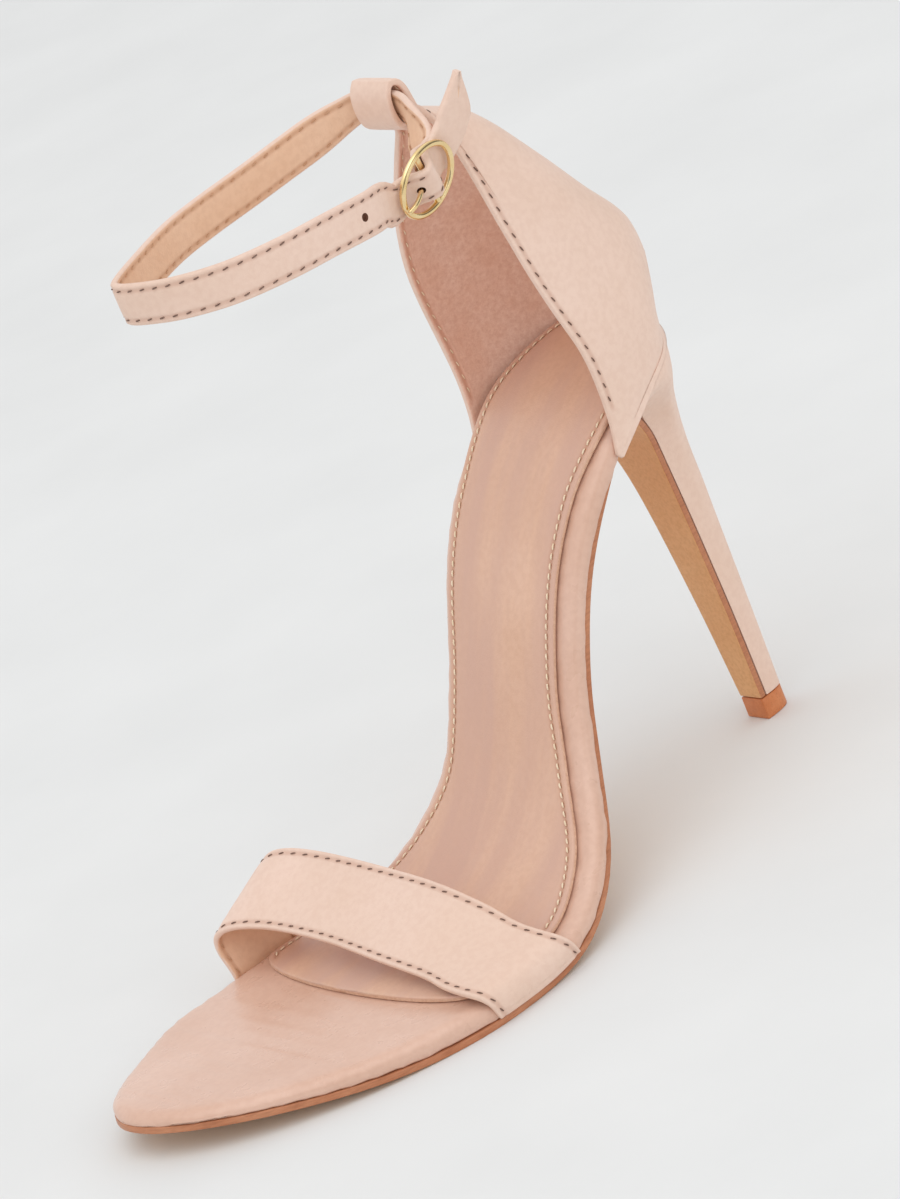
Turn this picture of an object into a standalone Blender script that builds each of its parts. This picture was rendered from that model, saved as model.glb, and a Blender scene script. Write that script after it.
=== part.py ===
"""Strappy heeled sandal, left shoe, with its ankle strap buckled. It stands on heel tip and forefoot.

Metres, +Z up, +X towards the toe, +Y towards the wearer's left, which is the outer side of this shoe.
The origin is the centre of the heel tip's ground face.
A station is a share of the footbed's length, from the back of the heel to the tip of the toe.
"""

import math

import bmesh
import bpy
import numpy as np
from mathutils import Vector

MM = 0.001

# Footbed
FOOTBED_LENGTH = 237.0 * MM
BALL_WIDTH = 80.6 * MM
SEAT_HEIGHT = 104.3 * MM
HEEL_SETBACK = 4.8 * MM
TOE_SHIFT = 9.6 * MM
TOE_SHIFT_FROM = 0.5
THIN_FROM = 0.78
THINNED = 0.40

# Walls and clearances
GAP = 0.3 * MM
INSOLE_THICKNESS = 4.6 * MM
OUTSOLE_THICKNESS = 1.6 * MM
SOCK_THICKNESS = 1.1 * MM
COUNTER_WALL = 1.6 * MM
TOE_STRAP_WALL = 1.4 * MM
ANKLE_STRAP_WALL = 1.8 * MM

# Insole sock
SOCK_INSET = 3.6 * MM
SOCK_FRONT = 0.778
SOCK_CORNER = 16.0 * MM
SOCK_EDGE = 0.5 * MM

# Heel
TIP_LENGTH = 8.0 * MM
TIP_WIDTH = 7.4 * MM
TIP_HEIGHT = 5.2 * MM
HEEL_FROM_TIP = 0.98
SHAFT_FULLNESS = 0.66
BREAST_CORNER_STATION = 0.104
BREAST_BLEND_STATION = 0.140
LIP_THICKNESS = 0.8 * MM

# Counter and its tab
COUNTER_FRONT = 0.172
COUNTER_FOOT = 1.5 * MM
COUNTER_RISE = 59.0 * MM
TAB_WIDTH = 13.2 * MM
TAB_CLEARANCE = 0.45 * MM
TAB_STEPS = 30
TAB_AHEAD = 36.6 * MM
TAB_RISE = 10.7 * MM
LOOP_AT = Vector((TAB_AHEAD, 0, SEAT_HEIGHT + COUNTER_RISE + TAB_RISE))

# Toe strap
TOE_STRAP_RISE = 21.2 * MM

# Ankle strap and buckle
BAND_WIDTH = 9.6 * MM
ANKLE_REACH = 78.0 * MM
ANKLE_SPREAD = 44.8 * MM
POINT_LENGTH = 9.0 * MM
HOLE_DIAMETER = 1.9 * MM
HOLE_PITCH = 10.5 * MM
FRAME_LENGTH = 18.8 * MM
FRAME_HEIGHT = 15.6 * MM
FRAME_WIRE = 1.5 * MM
BAR_DIAMETER = 1.4 * MM
PRONG_DIAMETER = 1.2 * MM
STRAP_DIP = 4.4 * MM
FRAME_PINCH = 0.12
LOOP_PINCH = 0.30
LOOP_HALF_WIDTH = 9.0 * MM
LOOP_TO_BUCKLE = Vector((0.145 * ANKLE_REACH, 0.478 * ANKLE_SPREAD, -1.26 * BAND_WIDTH))
BUCKLE_CENTRE = LOOP_AT + LOOP_TO_BUCKLE
BUCKLE_ALONG = Vector((-0.94, -0.06, 0.32)).normalized()
BUCKLE_LEAN = math.radians(15)

# How finely the round forms are cut
RUNGS = 56
COUNTER_COLUMNS = 24
COUNTER_ROWS = 15
HEEL_COLUMNS = 24
STRAP_STEPS = 44
ANKLE_STEPS = 200
WIRE_SIDES = 10

# Slope of the footbed: station, degrees downhill. The flat stretch is the tread under the ball.
SLOPES = (
    (0.000, 15.0),
    (0.062, 20.0),
    (0.144, 31.5),
    (0.226, 45.0),
    (0.309, 57.0),
    (0.391, 62.0),
    (0.473, 55.5),
    (0.556, 35.0),
    (0.638, 10.5),
    (0.690, 0.0),
    (0.755, 0.0),
    (0.823, -3.6),
    (0.926, -6.0),
    (1.000, -7.0),
)

# Breadth of the footbed to either side of its axis: station, inner, outer, as shares of BALL_WIDTH.
BREADTHS = (
    (0.000, 0.000, 0.000),
    (0.025, 0.172, 0.164),
    (0.062, 0.247, 0.236),
    (0.144, 0.312, 0.282),
    (0.226, 0.312, 0.268),
    (0.309, 0.300, 0.256),
    (0.391, 0.280, 0.264),
    (0.473, 0.280, 0.326),
    (0.556, 0.350, 0.446),
    (0.638, 0.430, 0.524),
    (0.720, 0.468, 0.537),
    (0.823, 0.448, 0.470),
    (0.926, 0.284, 0.318),
    (0.975, 0.160, 0.184),
    (1.000, 0.000, 0.000),
)

# How far the outsole stands out from the insole: station, share of OUTSOLE_THICKNESS.
OUTSOLE_MARGIN = (
    (0.100, -3.60),
    (0.140, -3.00),
    (0.170, -1.70),
    (0.210, -0.60),
    (0.280, -0.10),
    (0.500, 0.10),
    (0.620, 0.60),
    (0.780, 0.75),
    (1.000, 0.55),
)

# Face of the heel's breast: height / SEAT_HEIGHT, forward / TIP_LENGTH, half breadth / TIP_WIDTH.
BREAST = (
    (0.053, 0.50, 0.50),
    (0.240, 0.61, 0.63),
    (0.440, 0.79, 0.77),
    (0.550, 0.91, 0.86),
    (0.650, 1.06, 0.98),
    (0.740, 1.28, 1.24),
)
BREAST_TOP_BREADTH = 2.25

# Back of the heel: share of the height to the seat, back / TIP_LENGTH, how much it has flared to the seat.
HEEL_BACK = (
    (0.00, 0.50, 0.00),
    (0.15, 0.51, 0.00),
    (0.45, 0.50, 0.00),
    (0.62, 0.47, 0.03),
    (0.74, 0.45, 0.10),
    (0.83, 0.47, 0.26),
    (0.90, 0.50, 0.50),
    (0.96, 0.55, 0.80),
    (1.00, 0.60, 1.00),
)

# How far in the heel's seat lies from the insole's edge: station, share of COUNTER_WALL.
HEEL_SEAT = (
    (0.000, 0.10),
    (0.050, -0.30),
    (0.140, -0.50),
)

# Counter: height over the seat / COUNTER_RISE, back and front edge's shift / its depth, breadth / its base.
COUNTER = (
    (-0.40, 0.000, -0.010, 1.00),
    (-0.07, 0.000, -0.055, 1.00),
    (0.06, -0.022, -0.045, 1.01),
    (0.25, -0.045, 0.010, 0.95),
    (0.36, 0.000, 0.038, 0.91),
    (0.46, 0.108, 0.054, 0.86),
    (0.62, 0.264, 0.055, 0.75),
    (0.76, 0.418, 0.035, 0.61),
    (0.90, 0.575, 0.010, 0.45),
    (1.00, 0.720, 0.000, 0.31),
)

# Round the strap in the tab's loop: ahead / room for the strap's wall, up / room for half its width.
TAB = (
    (-2.60, -1.00),
    (-1.70, -0.35),
    (-1.40, 0.30),
    (-1.00, 0.88),
    (0.00, 1.20),
    (1.00, 0.88),
    (1.40, 0.20),
    (1.35, -0.45),
    (0.90, -0.98),
    (0.00, -1.20),
    (-1.60, -1.02),
)

# Toe strap: across / reach to the insole's edge, station of rear and front edge, their lift / TOE_STRAP_RISE.
TOE_STRAP = (
    (1.02, 0.634, 0.738, 0.00, 0.00),
    (0.97, 0.641, 0.745, 0.10, 0.08),
    (0.78, 0.646, 0.746, 0.24, 0.13),
    (0.60, 0.645, 0.741, 0.42, 0.18),
    (0.28, 0.648, 0.741, 0.66, 0.28),
    (-0.16, 0.652, 0.739, 0.80, 0.39),
    (-0.62, 0.661, 0.744, 0.92, 0.47),
    (-0.88, 0.677, 0.757, 0.98, 0.51),
    (-1.01, 0.687, 0.766, 0.88, 0.45),
    (-1.05, 0.690, 0.769, 0.58, 0.28),
    (-1.00, 0.690, 0.768, 0.00, 0.00),
)

# Where the toe strap's two ends stand on the outsole: across, station of rear and front edge.
TOE_STRAP_FOOT = (
    (1.00, 0.629, 0.731),
    (-1.00, 0.690, 0.768),
)

# Ankle strap's short run, as shares of the way from loop to buckle, and how far its face turns forward.
SHORT_RUN = (
    (0.460, 0.729, 0.545, 0.50),
    (0.212, 0.542, 0.215, 0.18),
    (0.035, 0.327, 0.025, 0.00),
    (0.000, 0.000, 0.000, 0.00),
)

# Ankle strap from the tab's loop: ahead / ANKLE_REACH, across / ANKLE_SPREAD, drop / BAND_WIDTH.
ANKLE_ROUND = (
    (0.000, -0.145, 0.00),
    (0.050, -0.257, 0.15),
    (0.172, -0.368, 0.40),
    (0.351, -0.420, 0.58),
    (0.531, -0.402, 0.62),
    (0.685, -0.339, 0.62),
    (0.851, -0.223, 0.67),
    (0.967, -0.123, 0.71),
    (1.000, -0.058, 0.73),
    (0.987, 0.078, 0.75),
    (0.941, 0.268, 0.77),
    (0.845, 0.458, 0.79),
    (0.697, 0.563, 0.83),
    (0.544, 0.580, 0.91),
    (0.390, 0.549, 1.06),
)


def monotone(rows, column):
    """A smooth curve through a table's first column and another one, with no overshoot."""
    at = np.array([row[0] for row in rows])
    value = np.array([row[column] for row in rows])
    step = np.diff(at)
    slope = np.diff(value) / step
    tangent = np.concatenate([slope[:1], np.zeros(len(at) - 2), slope[-1:]])
    for i in range(1, len(at) - 1):
        if slope[i - 1] * slope[i] > 0:
            before, after = 2 * step[i] + step[i - 1], step[i] + 2 * step[i - 1]
            tangent[i] = (before + after) / (before / slope[i - 1] + after / slope[i])

    def curve(x):
        x = np.clip(x, at[0], at[-1])
        i = np.clip(np.searchsorted(at, x, side="right") - 1, 0, len(at) - 2)
        t = (x - at[i]) / step[i]
        ends = (1 + 2 * t) * (1 - t) ** 2 * value[i] + t**2 * (3 - 2 * t) * value[i + 1]
        leans = t * (1 - t) ** 2 * tangent[i] - t**2 * (1 - t) * tangent[i + 1]
        return ends + step[i] * leans

    return curve


def through(points, count, measured=3):
    """Points at even steps along a Catmull-Rom curve through these ones. The first columns give the length."""
    points = np.array([tuple(p) for p in points], float)
    padded = np.vstack([2 * points[0] - points[1], points, 2 * points[-1] - points[-2]])
    dense = []
    for i in range(len(points) - 1):
        p0, p1, p2, p3 = padded[i : i + 4]
        for t in np.linspace(0, 1, 12, endpoint=False):
            dense.append(
                0.5 * (2 * p1 + (p2 - p0) * t + (2 * p0 - 5 * p1 + 4 * p2 - p3) * t**2
                       + (3 * p1 - p0 - 3 * p2 + p3) * t**3)
            )
    dense = np.array(dense + [points[-1]])
    moves = np.linalg.norm(np.diff(dense[:, :measured], axis=0), axis=1)
    run = np.concatenate([[0], np.cumsum(moves)])
    steps = np.linspace(0, run[-1], count + 1)
    return [np.array([np.interp(s, run, dense[:, k]) for k in range(dense.shape[1])]) for s in steps]


def material(name, colour, roughness, metallic=0.0):
    made = bpy.data.materials.new(name)
    made.use_nodes = True
    shader = made.node_tree.nodes["Principled BSDF"]
    shader.inputs["Base Color"].default_value = (*colour, 1)
    shader.inputs["Roughness"].default_value = roughness
    shader.inputs["Metallic"].default_value = metallic
    made.diffuse_color = (*colour, 1)
    return made


def part(name, points, faces, look, sharp=40, closed=True):
    """One piece from its points and faces, shaded smooth except over sharp edges."""
    mesh = bpy.data.meshes.new(name)
    mesh.from_pydata([tuple(p) for p in points], [], faces)
    build = bmesh.new()
    build.from_mesh(mesh)
    if closed:
        bmesh.ops.recalc_face_normals(build, faces=build.faces)
        if build.calc_volume(signed=True) < 0:
            bmesh.ops.reverse_faces(build, faces=build.faces)
    build.to_mesh(mesh)
    build.free()
    mesh.shade_smooth()
    mesh.set_sharp_from_angle(angle=math.radians(sharp))
    mesh.materials.append(look)
    made = bpy.data.objects.new(name, mesh)
    bpy.context.collection.objects.link(made)
    return made


def tube_mesh(rings, closed):
    """Points and faces of a solid skinned over rings of points, with its ends capped or joined."""
    sides = len(rings[0])
    points = [p for ring in rings for p in ring]
    faces = []
    for k in range(len(rings) if closed else len(rings) - 1):
        here, there = k * sides, (k + 1) % len(rings) * sides
        for i in range(sides):
            j = (i + 1) % sides
            faces.append((here + i, here + j, there + j, there + i))
    if not closed:
        faces.append(tuple(reversed(range(sides))))
        faces.append(tuple(range(len(points) - sides, len(points))))
    return points, faces


def round_rings(path, sides, radius, flat_to, closed=False):
    """Circles square to a path. flat_to is a direction that the path never follows."""
    rings = []
    for k, centre in enumerate(path):
        before = path[k - 1] if k or closed else path[k]
        after = path[(k + 1) % len(path)] if k < len(path) - 1 or closed else path[k]
        ahead = Vector(after - before).normalized()
        side = ahead.cross(flat_to).normalized()
        up = side.cross(ahead)
        turns = [2 * math.pi * i / sides for i in range(sides)]
        rings.append([Vector(centre) + radius * (math.cos(t) * side + math.sin(t) * up) for t in turns])
    return rings


def footbed_line():
    """Stations along the footbed with its X, Z and slope. The slopes are scaled to give the seat's height."""
    stations = np.linspace(0, 1, 401)
    slope = np.radians(monotone(SLOPES, 1)(stations))
    fall = SEAT_HEIGHT - INSOLE_THICKNESS - GAP - OUTSOLE_THICKNESS
    downhill = np.where(slope > 0, slope, 0)
    step = FOOTBED_LENGTH / (len(stations) - 1)
    low, high = 0.2, 1.4
    for _ in range(50):
        middle = (low + high) / 2
        if np.sin(middle * downhill).sum() * step < fall:
            low = middle
        else:
            high = middle
    slope = np.where(slope > 0, low * slope, slope)
    half = (slope[1:] + slope[:-1]) / 2
    x = np.concatenate([[0], np.cumsum(np.cos(half) * step)]) - HEEL_SETBACK
    z = SEAT_HEIGHT - np.concatenate([[0], np.cumsum(np.sin(half) * step)])
    z += INSOLE_THICKNESS + GAP + OUTSOLE_THICKNESS - z.min()
    return stations * FOOTBED_LENGTH, x, z, slope


LINE_AT, LINE_X, LINE_Z, LINE_SLOPE = footbed_line()


def place(along, across, height):
    """A point by its length along the footbed, its Y and its height square to the footbed's top."""
    inside = min(max(along, 0.0), FOOTBED_LENGTH)
    past = along - inside
    slope = np.interp(inside, LINE_AT, LINE_SLOPE)
    x = np.interp(inside, LINE_AT, LINE_X) + past * math.cos(slope) + height * math.sin(slope)
    z = np.interp(inside, LINE_AT, LINE_Z) - past * math.sin(slope) + height * math.cos(slope)
    return Vector((x, across, z))


def breadths(along):
    """The footbed's axis, and its inner and outer breadth from there. Squares are smoothed, so the ends are round."""
    station = along / FOOTBED_LENGTH
    squares = [(row[0], row[1] ** 2, row[2] ** 2) for row in BREADTHS]
    inner, outer = (BALL_WIDTH * np.sqrt(np.maximum(monotone(squares, k)(station), 0)) for k in (1, 2))
    shift = np.maximum(0, (station - TOE_SHIFT_FROM) / (1 - TOE_SHIFT_FROM))
    return -TOE_SHIFT * shift**2, inner, outer


def outline(inset, front=1.0, corner=0.0):
    """The footbed's outline in its own plane, moved in by inset: heel back, inner side, toe, outer side."""
    along = front * FOOTBED_LENGTH * (1 - np.cos(np.linspace(0, math.pi, RUNGS + 1))) / 2
    axis, inner, outer = breadths(along)
    if corner:
        near_end = np.clip((along - along[-1] + corner) / corner, 0, 1)
        inner, outer = inner * np.sqrt(1 - near_end**4), outer * np.sqrt(1 - near_end**4)
    one_side = np.stack([along, axis - inner], 1)
    other_side = np.stack([along, axis + outer], 1)
    loop = np.vstack([one_side, other_side[-2:0:-1]])
    ahead = np.roll(loop, -1, axis=0) - np.roll(loop, 1, axis=0)
    ahead /= np.linalg.norm(ahead, axis=1)[:, None]
    depth = inset(loop[:, 0]) if callable(inset) else np.full(len(loop), inset)
    return loop + np.stack([-ahead[:, 1], ahead[:, 0]], 1) * depth[:, None]


def horseshoe(inset, front, count):
    """Even steps round the heel's outline, from station front on the outer side to there on the inner side."""
    loop = outline(inset)
    around = np.vstack([loop[RUNGS:], loop[: RUNGS + 1]])
    run = np.concatenate([[0], np.cumsum(np.linalg.norm(np.diff(around, axis=0), axis=1))])
    reach = front * FOOTBED_LENGTH
    first = np.interp(-reach, -around[: RUNGS + 1, 0], run[: RUNGS + 1])
    last = np.interp(reach, around[RUNGS:, 0], run[RUNGS:])
    return [[np.interp(s, run, around[:, k]) for k in (0, 1)] for s in np.linspace(first, last, count + 1)]


def ladder(count, base, flip):
    """Faces across a loop of 2 * count points, rung by rung, so a curved bed is filled without a fan."""
    faces = [(0, 1, 2 * count - 1)]
    faces += [(i, i + 1, 2 * count - i - 1, 2 * count - i) for i in range(1, count - 1)]
    faces += [(count - 1, count, count + 1)]
    faces = [tuple(base + i for i in face) for face in faces]
    return [face[::-1] for face in faces] if flip else faces


def thinned(along):
    """How much of the insole's thickness is left here. It thins towards the tip of the toe."""
    share = min(max((along / FOOTBED_LENGTH - THIN_FROM) / (1 - THIN_FROM), 0), 1)
    return 1 - THINNED * share**2 * (3 - 2 * share)


def layered(name, layers, look, front=1.0, corner=0.0):
    """A flat-lying layer of the sole. Its rings, bottom to top, each have an inset and a height."""
    rings = []
    for inset, height in layers:
        loop = outline(inset, front, corner)
        rings.append([place(a, y, height * thinned(a) if height < 0 else height) for a, y in loop])
    points, faces = tube_mesh(rings, closed=False)
    faces = faces[:-2] + ladder(RUNGS, 0, True) + ladder(RUNGS, len(points) - 2 * RUNGS, False)
    return part(name, points, faces, look)


def make_insole(look):
    """The wrapped insole board, with a rounded upper edge."""
    layers = [(0.4 * MM, -INSOLE_THICKNESS), (0.0, -INSOLE_THICKNESS + 0.6 * MM), (0.0, -1.9 * MM)]
    layers += [(0.3 * MM, -1.0 * MM), (0.9 * MM, -0.35 * MM), (1.9 * MM, 0.0)]
    return layered("insole", layers, look)


def make_sock(look):
    """The stitched sock that lies on the insole and ends under the toe strap."""
    layers = [(SOCK_INSET, GAP), (SOCK_INSET, GAP + SOCK_THICKNESS - SOCK_EDGE)]
    layers += [(SOCK_INSET + SOCK_EDGE, GAP + SOCK_THICKNESS)]
    return layered("insole_sock", layers, look, SOCK_FRONT, SOCK_CORNER)


def breast_points():
    """The outsole's walking face where it turns down the heel: X, Z and half breadth, top to bottom."""
    depth = INSOLE_THICKNESS + GAP + OUTSOLE_THICKNESS
    start = place(BREAST_BLEND_STATION * FOOTBED_LENGTH, 0, -depth)
    corner = place(BREAST_CORNER_STATION * FOOTBED_LENGTH, 0, -depth)
    forward, breadth = monotone(BREAST, 1), monotone(BREAST, 2)
    top = BREAST[-1][0]
    end = Vector((forward(top) * TIP_LENGTH, 0, top * SEAT_HEIGHT))
    rows = []
    for t in (k / 8 for k in range(1, 9)):
        p = start * (1 - t) ** 2 + corner * 2 * t * (1 - t) + end * t**2
        half = TIP_WIDTH * (BREAST_TOP_BREADTH + (breadth(top) - BREAST_TOP_BREADTH) * t)
        rows.append((p.x, p.z, half))
    for share in np.linspace(top, (TIP_HEIGHT + GAP) / SEAT_HEIGHT, 13)[1:]:
        rows.append((forward(share) * TIP_LENGTH, share * SEAT_HEIGHT, breadth(share) * TIP_WIDTH))
    return rows


def breast_inside(extra=0.0):
    """The same line on the heel's side of the outsole, moved in by its thickness and extra."""
    rows = breast_points()
    found = []
    for i, (x, z, half) in enumerate(rows):
        before, after = rows[max(i - 1, 0)], rows[min(i + 1, len(rows) - 1)]
        down = Vector((after[0] - before[0], 0, after[1] - before[1])).normalized()
        inward = Vector((down.z, 0, -down.x)) * (OUTSOLE_THICKNESS + extra)
        found.append((x + inward.x, z + inward.z, half))
    return found


def make_outsole(look):
    """One thin sheet: toe to heel under the insole, then down the breast of the heel to the tip."""
    margin = monotone(OUTSOLE_MARGIN, 1)
    loop = outline(lambda along: -OUTSOLE_THICKNESS * margin(along / FOOTBED_LENGTH))
    start = (BREAST_BLEND_STATION + 0.004) * FOOTBED_LENGTH
    rungs = [i for i in range(RUNGS - 1, 0, -1) if loop[i][0] > start and loop[2 * RUNGS - i][0] > start]
    lower, upper = [[], []], [[], []]
    for side, flip in ((0, False), (1, True)):
        for i in rungs if flip else [RUNGS, *rungs]:
            along, across = loop[2 * RUNGS - i if flip else i]
            high = -INSOLE_THICKNESS * thinned(along) - GAP
            lower[side].append(place(along, across, high - OUTSOLE_THICKNESS))
            upper[side].append(place(along, across, high))
        sign = 1 if flip else -1
        lower[side] += [Vector((x, sign * half, z)) for x, z, half in breast_points()]
        upper[side] += [Vector((x, sign * half, z)) for x, z, half in breast_inside()]
    lower, upper = lower[0] + lower[1][::-1], upper[0] + upper[1][::-1]
    count = len(lower)
    half = count // 2
    faces = [(0, 1, count - 1)]
    faces += [(i, i + 1, count - i - 1, count - i) for i in range(1, half)]
    faces += [tuple(count + i for i in reversed(face)) for face in faces]
    faces += [(count + i, count + (i + 1) % count, (i + 1) % count, i) for i in range(count)]
    return part("outsole", lower + upper, faces, look)


def make_heel(look):
    """The covered stiletto heel: a slim D section that flares into the cup under the counter."""
    tuck = monotone(HEEL_SEAT, 1)
    rim = horseshoe(lambda along: COUNTER_WALL * tuck(along / FOOTBED_LENGTH), BREAST_BLEND_STATION, HEEL_COLUMNS)
    seat = [place(a, y, -INSOLE_THICKNESS - GAP) for a, y in rim]
    seat_line = [place(a, 0, -INSOLE_THICKNESS - GAP) for a in
                 np.linspace(-0.1, BREAST_BLEND_STATION, 30) * FOOTBED_LENGTH]
    seat_x, seat_z = [p.x for p in seat_line], [p.z for p in seat_line]
    foot = TIP_HEIGHT + GAP
    wall = breast_inside(GAP)
    room = [(x, z, half) for x, z, half in wall if np.interp(x, seat_x, seat_z) - z > LIP_THICKNESS]
    room.sort(key=lambda row: row[1])
    room_z = [row[1] for row in room]
    back, flare = monotone(HEEL_BACK, 1), monotone(HEEL_BACK, 2)
    rings = []
    for rise in np.concatenate([np.linspace(0, 0.56, 7), np.linspace(0.62, 1, 12)]):
        front = 0.0
        for _ in range(8):
            level = foot + rise * (np.interp(front, seat_x, seat_z) - foot)
            front = np.interp(level, room_z, [row[0] for row in room])
        half = np.interp(level, room_z, [row[2] for row in room]) * HEEL_FROM_TIP
        rear = -back(rise) * TIP_LENGTH
        mix = flare(rise)
        ring = []
        for i, edge in enumerate(seat):
            turn = math.pi * i / HEEL_COLUMNS
            shaft_x = front - (front - rear) * math.sin(turn) ** SHAFT_FULLNESS
            shaft_y = half * math.copysign(abs(math.cos(turn)) ** SHAFT_FULLNESS, math.cos(turn))
            share = min(max((seat[0].x - edge.x) / (seat[0].x - seat[HEEL_COLUMNS // 2].x), 0), 1)
            rim_x = front - (front - seat[HEEL_COLUMNS // 2].x) * share
            ease = min(1, share / 0.3)
            rim_y = edge.y * (half / abs(edge.y) * (1 - ease) + ease) if abs(edge.y) > half else edge.y
            x, y = shaft_x + (rim_x - shaft_x) * mix, shaft_y + (rim_y - shaft_y) * mix
            ring.append(Vector((x, y, foot + rise * (np.interp(x, seat_x, seat_z) - foot))))
        rings.append(ring)
    points, faces = tube_mesh(rings, closed=False)
    columns = HEEL_COLUMNS + 1
    caps = [(i, i + 1, columns - 2 - i, columns - 1 - i) for i in range(columns // 2)]
    caps = [face if len(set(face)) == 4 else tuple(sorted(set(face))) for face in caps]
    last = len(points) - columns
    faces = faces[:-2] + [face[::-1] for face in caps] + [tuple(last + i for i in face) for face in caps]
    return part("heel", points, faces, look)


def make_heel_tip(look):
    """The hard-wearing top piece, a D-shaped block that stands on the floor."""
    rings = []
    for height in (0.0, TIP_HEIGHT):
        ring = []
        for i in range(HEEL_COLUMNS + 1):
            turn = math.pi * i / HEEL_COLUMNS
            x = TIP_LENGTH * (0.5 - math.sin(turn) ** SHAFT_FULLNESS)
            y = TIP_WIDTH / 2 * math.copysign(abs(math.cos(turn)) ** SHAFT_FULLNESS, math.cos(turn))
            ring.append(Vector((x, y, height)))
        rings.append(ring)
    points, faces = tube_mesh(rings, closed=False)
    return part("heel_tip", points, faces, look)


def tab_loop_path():
    """The tab's inner face in side view: up behind the strap, over it, down in front of it and back under it."""
    tall = BAND_WIDTH * (1 - LOOP_PINCH) / 2 + TAB_CLEARANCE
    thick = ANKLE_STRAP_WALL / 2 + TAB_CLEARANCE
    return [(LOOP_AT.x + ahead * thick, LOOP_AT.z + up * tall) for ahead, up in TAB]


def make_counter(look):
    """The heel quarter, one sheet: a horseshoe wall that narrows to a tab, which folds over to hold the strap."""
    rim = horseshoe(-GAP, COUNTER_FRONT, COUNTER_COLUMNS)
    foot = [place(a, y, -INSOLE_THICKNESS) for a, y in rim]
    base = [place(a, y, COUNTER_FOOT - INSOLE_THICKNESS) for a, y in rim]
    middle = COUNTER_COLUMNS // 2
    front_x, back_x = base[0].x, base[middle].x
    depth = front_x - back_x
    top = SEAT_HEIGHT + COUNTER_RISE
    back, front, narrow = (monotone(COUNTER, k) for k in (1, 2, 3))
    rows = [foot]
    for rise in np.linspace(0, 1, COUNTER_ROWS + 1):
        row = []
        grown = min(1.0, rise * COUNTER_ROWS)
        for p in base:
            z = p.z + (top - p.z) * rise
            share = (z - SEAT_HEIGHT) / COUNTER_RISE
            ahead = (p.x - back_x) / depth
            x = back_x + depth * (back(share) * (1 - ahead) + (1 + grown * front(share)) * ahead)
            row.append(Vector((x, p.y * narrow(share), z)))
        rows.append(row)
    neck = rows[-1]
    breadth = max(p.y for p in neck)
    loop = tab_loop_path()
    tab_from = math.dist((neck[middle].x, neck[middle].z), loop[0])
    for x, z in through([(neck[middle].x, neck[middle].z)] + loop, TAB_STEPS)[1:]:
        fade = max(0.0, 1 - math.dist((x, z), (neck[middle].x, neck[middle].z)) / tab_from)
        wide = TAB_WIDTH / 2 + (breadth - TAB_WIDTH / 2) * fade
        row = []
        for i, p in enumerate(neck):
            even = 1 - 2 * i / COUNTER_COLUMNS
            across = wide * (even + (p.y / breadth - even) * fade)
            row.append(Vector((x + (p.x - neck[middle].x) * fade, across, z)))
        rows.append(row)
    return sheet("counter", rows, COUNTER_WALL, look)


def sheet(name, rows, wall, look):
    """A sheet of leather from a grid of points on its inner face, given its thickness by Solidify.

    Seen from outside, the points of a row run to the left when the rows run up.
    """
    columns = len(rows[0])
    faces = []
    for r in range(len(rows) - 1):
        for c in range(columns - 1):
            i = r * columns + c
            faces.append((i, i + 1, i + columns + 1, i + columns))
    made = part(name, [p for row in rows for p in row], faces, look, closed=False)
    thicken = made.modifiers.new("Thickness", "SOLIDIFY")
    thicken.thickness = wall
    thicken.offset = 1
    thicken.use_even_offset = True
    return made


def make_toe_strap(look):
    """The strap over the toes. Both ends run down outside the insole and stand on the outsole."""
    reach = BALL_WIDTH / 2
    rows = [(row[0] * reach, row[3] * TOE_STRAP_RISE, row[4] * TOE_STRAP_RISE, *row[1:3]) for row in TOE_STRAP]
    ends = [(side * reach, -INSOLE_THICKNESS, -INSOLE_THICKNESS, *edges) for side, *edges in TOE_STRAP_FOOT]
    rows = [ends[0], *rows, ends[1]]
    grid = []
    for side, rear_lift, front_lift, rear, front in through(rows, STRAP_STEPS):
        across = side / reach
        line = []
        for share in np.linspace(1, 0, 5):
            along = (rear + (front - rear) * share) * FOOTBED_LENGTH
            axis, inner, outer = breadths(along)
            half = (outer if across > 0 else inner) + GAP
            height = rear_lift + (front_lift - rear_lift) * share
            line.append(place(along, float(axis + across * half), height))
        grid.append(line)
    return sheet("toe_strap", grid, TOE_STRAP_WALL, look)


def buckle_axes():
    """Directions along the strap at the buckle, up its width, and out of its face."""
    up = Vector((0, math.sin(BUCKLE_LEAN), math.cos(BUCKLE_LEAN)))
    up = (up - up.dot(BUCKLE_ALONG) * BUCKLE_ALONG).normalized()
    return BUCKLE_ALONG, up, BUCKLE_ALONG.cross(up)


def at_buckle(along, out, up=0.0):
    ahead, high, outward = buckle_axes()
    return BUCKLE_CENTRE + along * ahead + out * outward + up * high


def band(name, route, ups, widths, wall, look):
    """A flat strap: its centre line, the direction of its width, and its width at each step."""
    rings = []
    for k, centre in enumerate(route):
        ahead = Vector(route[min(k + 1, len(route) - 1)] - route[max(k - 1, 0)]).normalized()
        up = Vector(ups[k])
        up = (up - up.dot(ahead) * ahead).normalized()
        out = ahead.cross(up) * (wall / 2)
        edge = up * (widths[k] / 2)
        middle = Vector(centre)
        rings.append([middle + edge + out, middle + edge - out, middle - edge - out, middle - edge + out])
    points, faces = tube_mesh(rings, closed=False)
    return part(name, points, faces, look)


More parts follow.
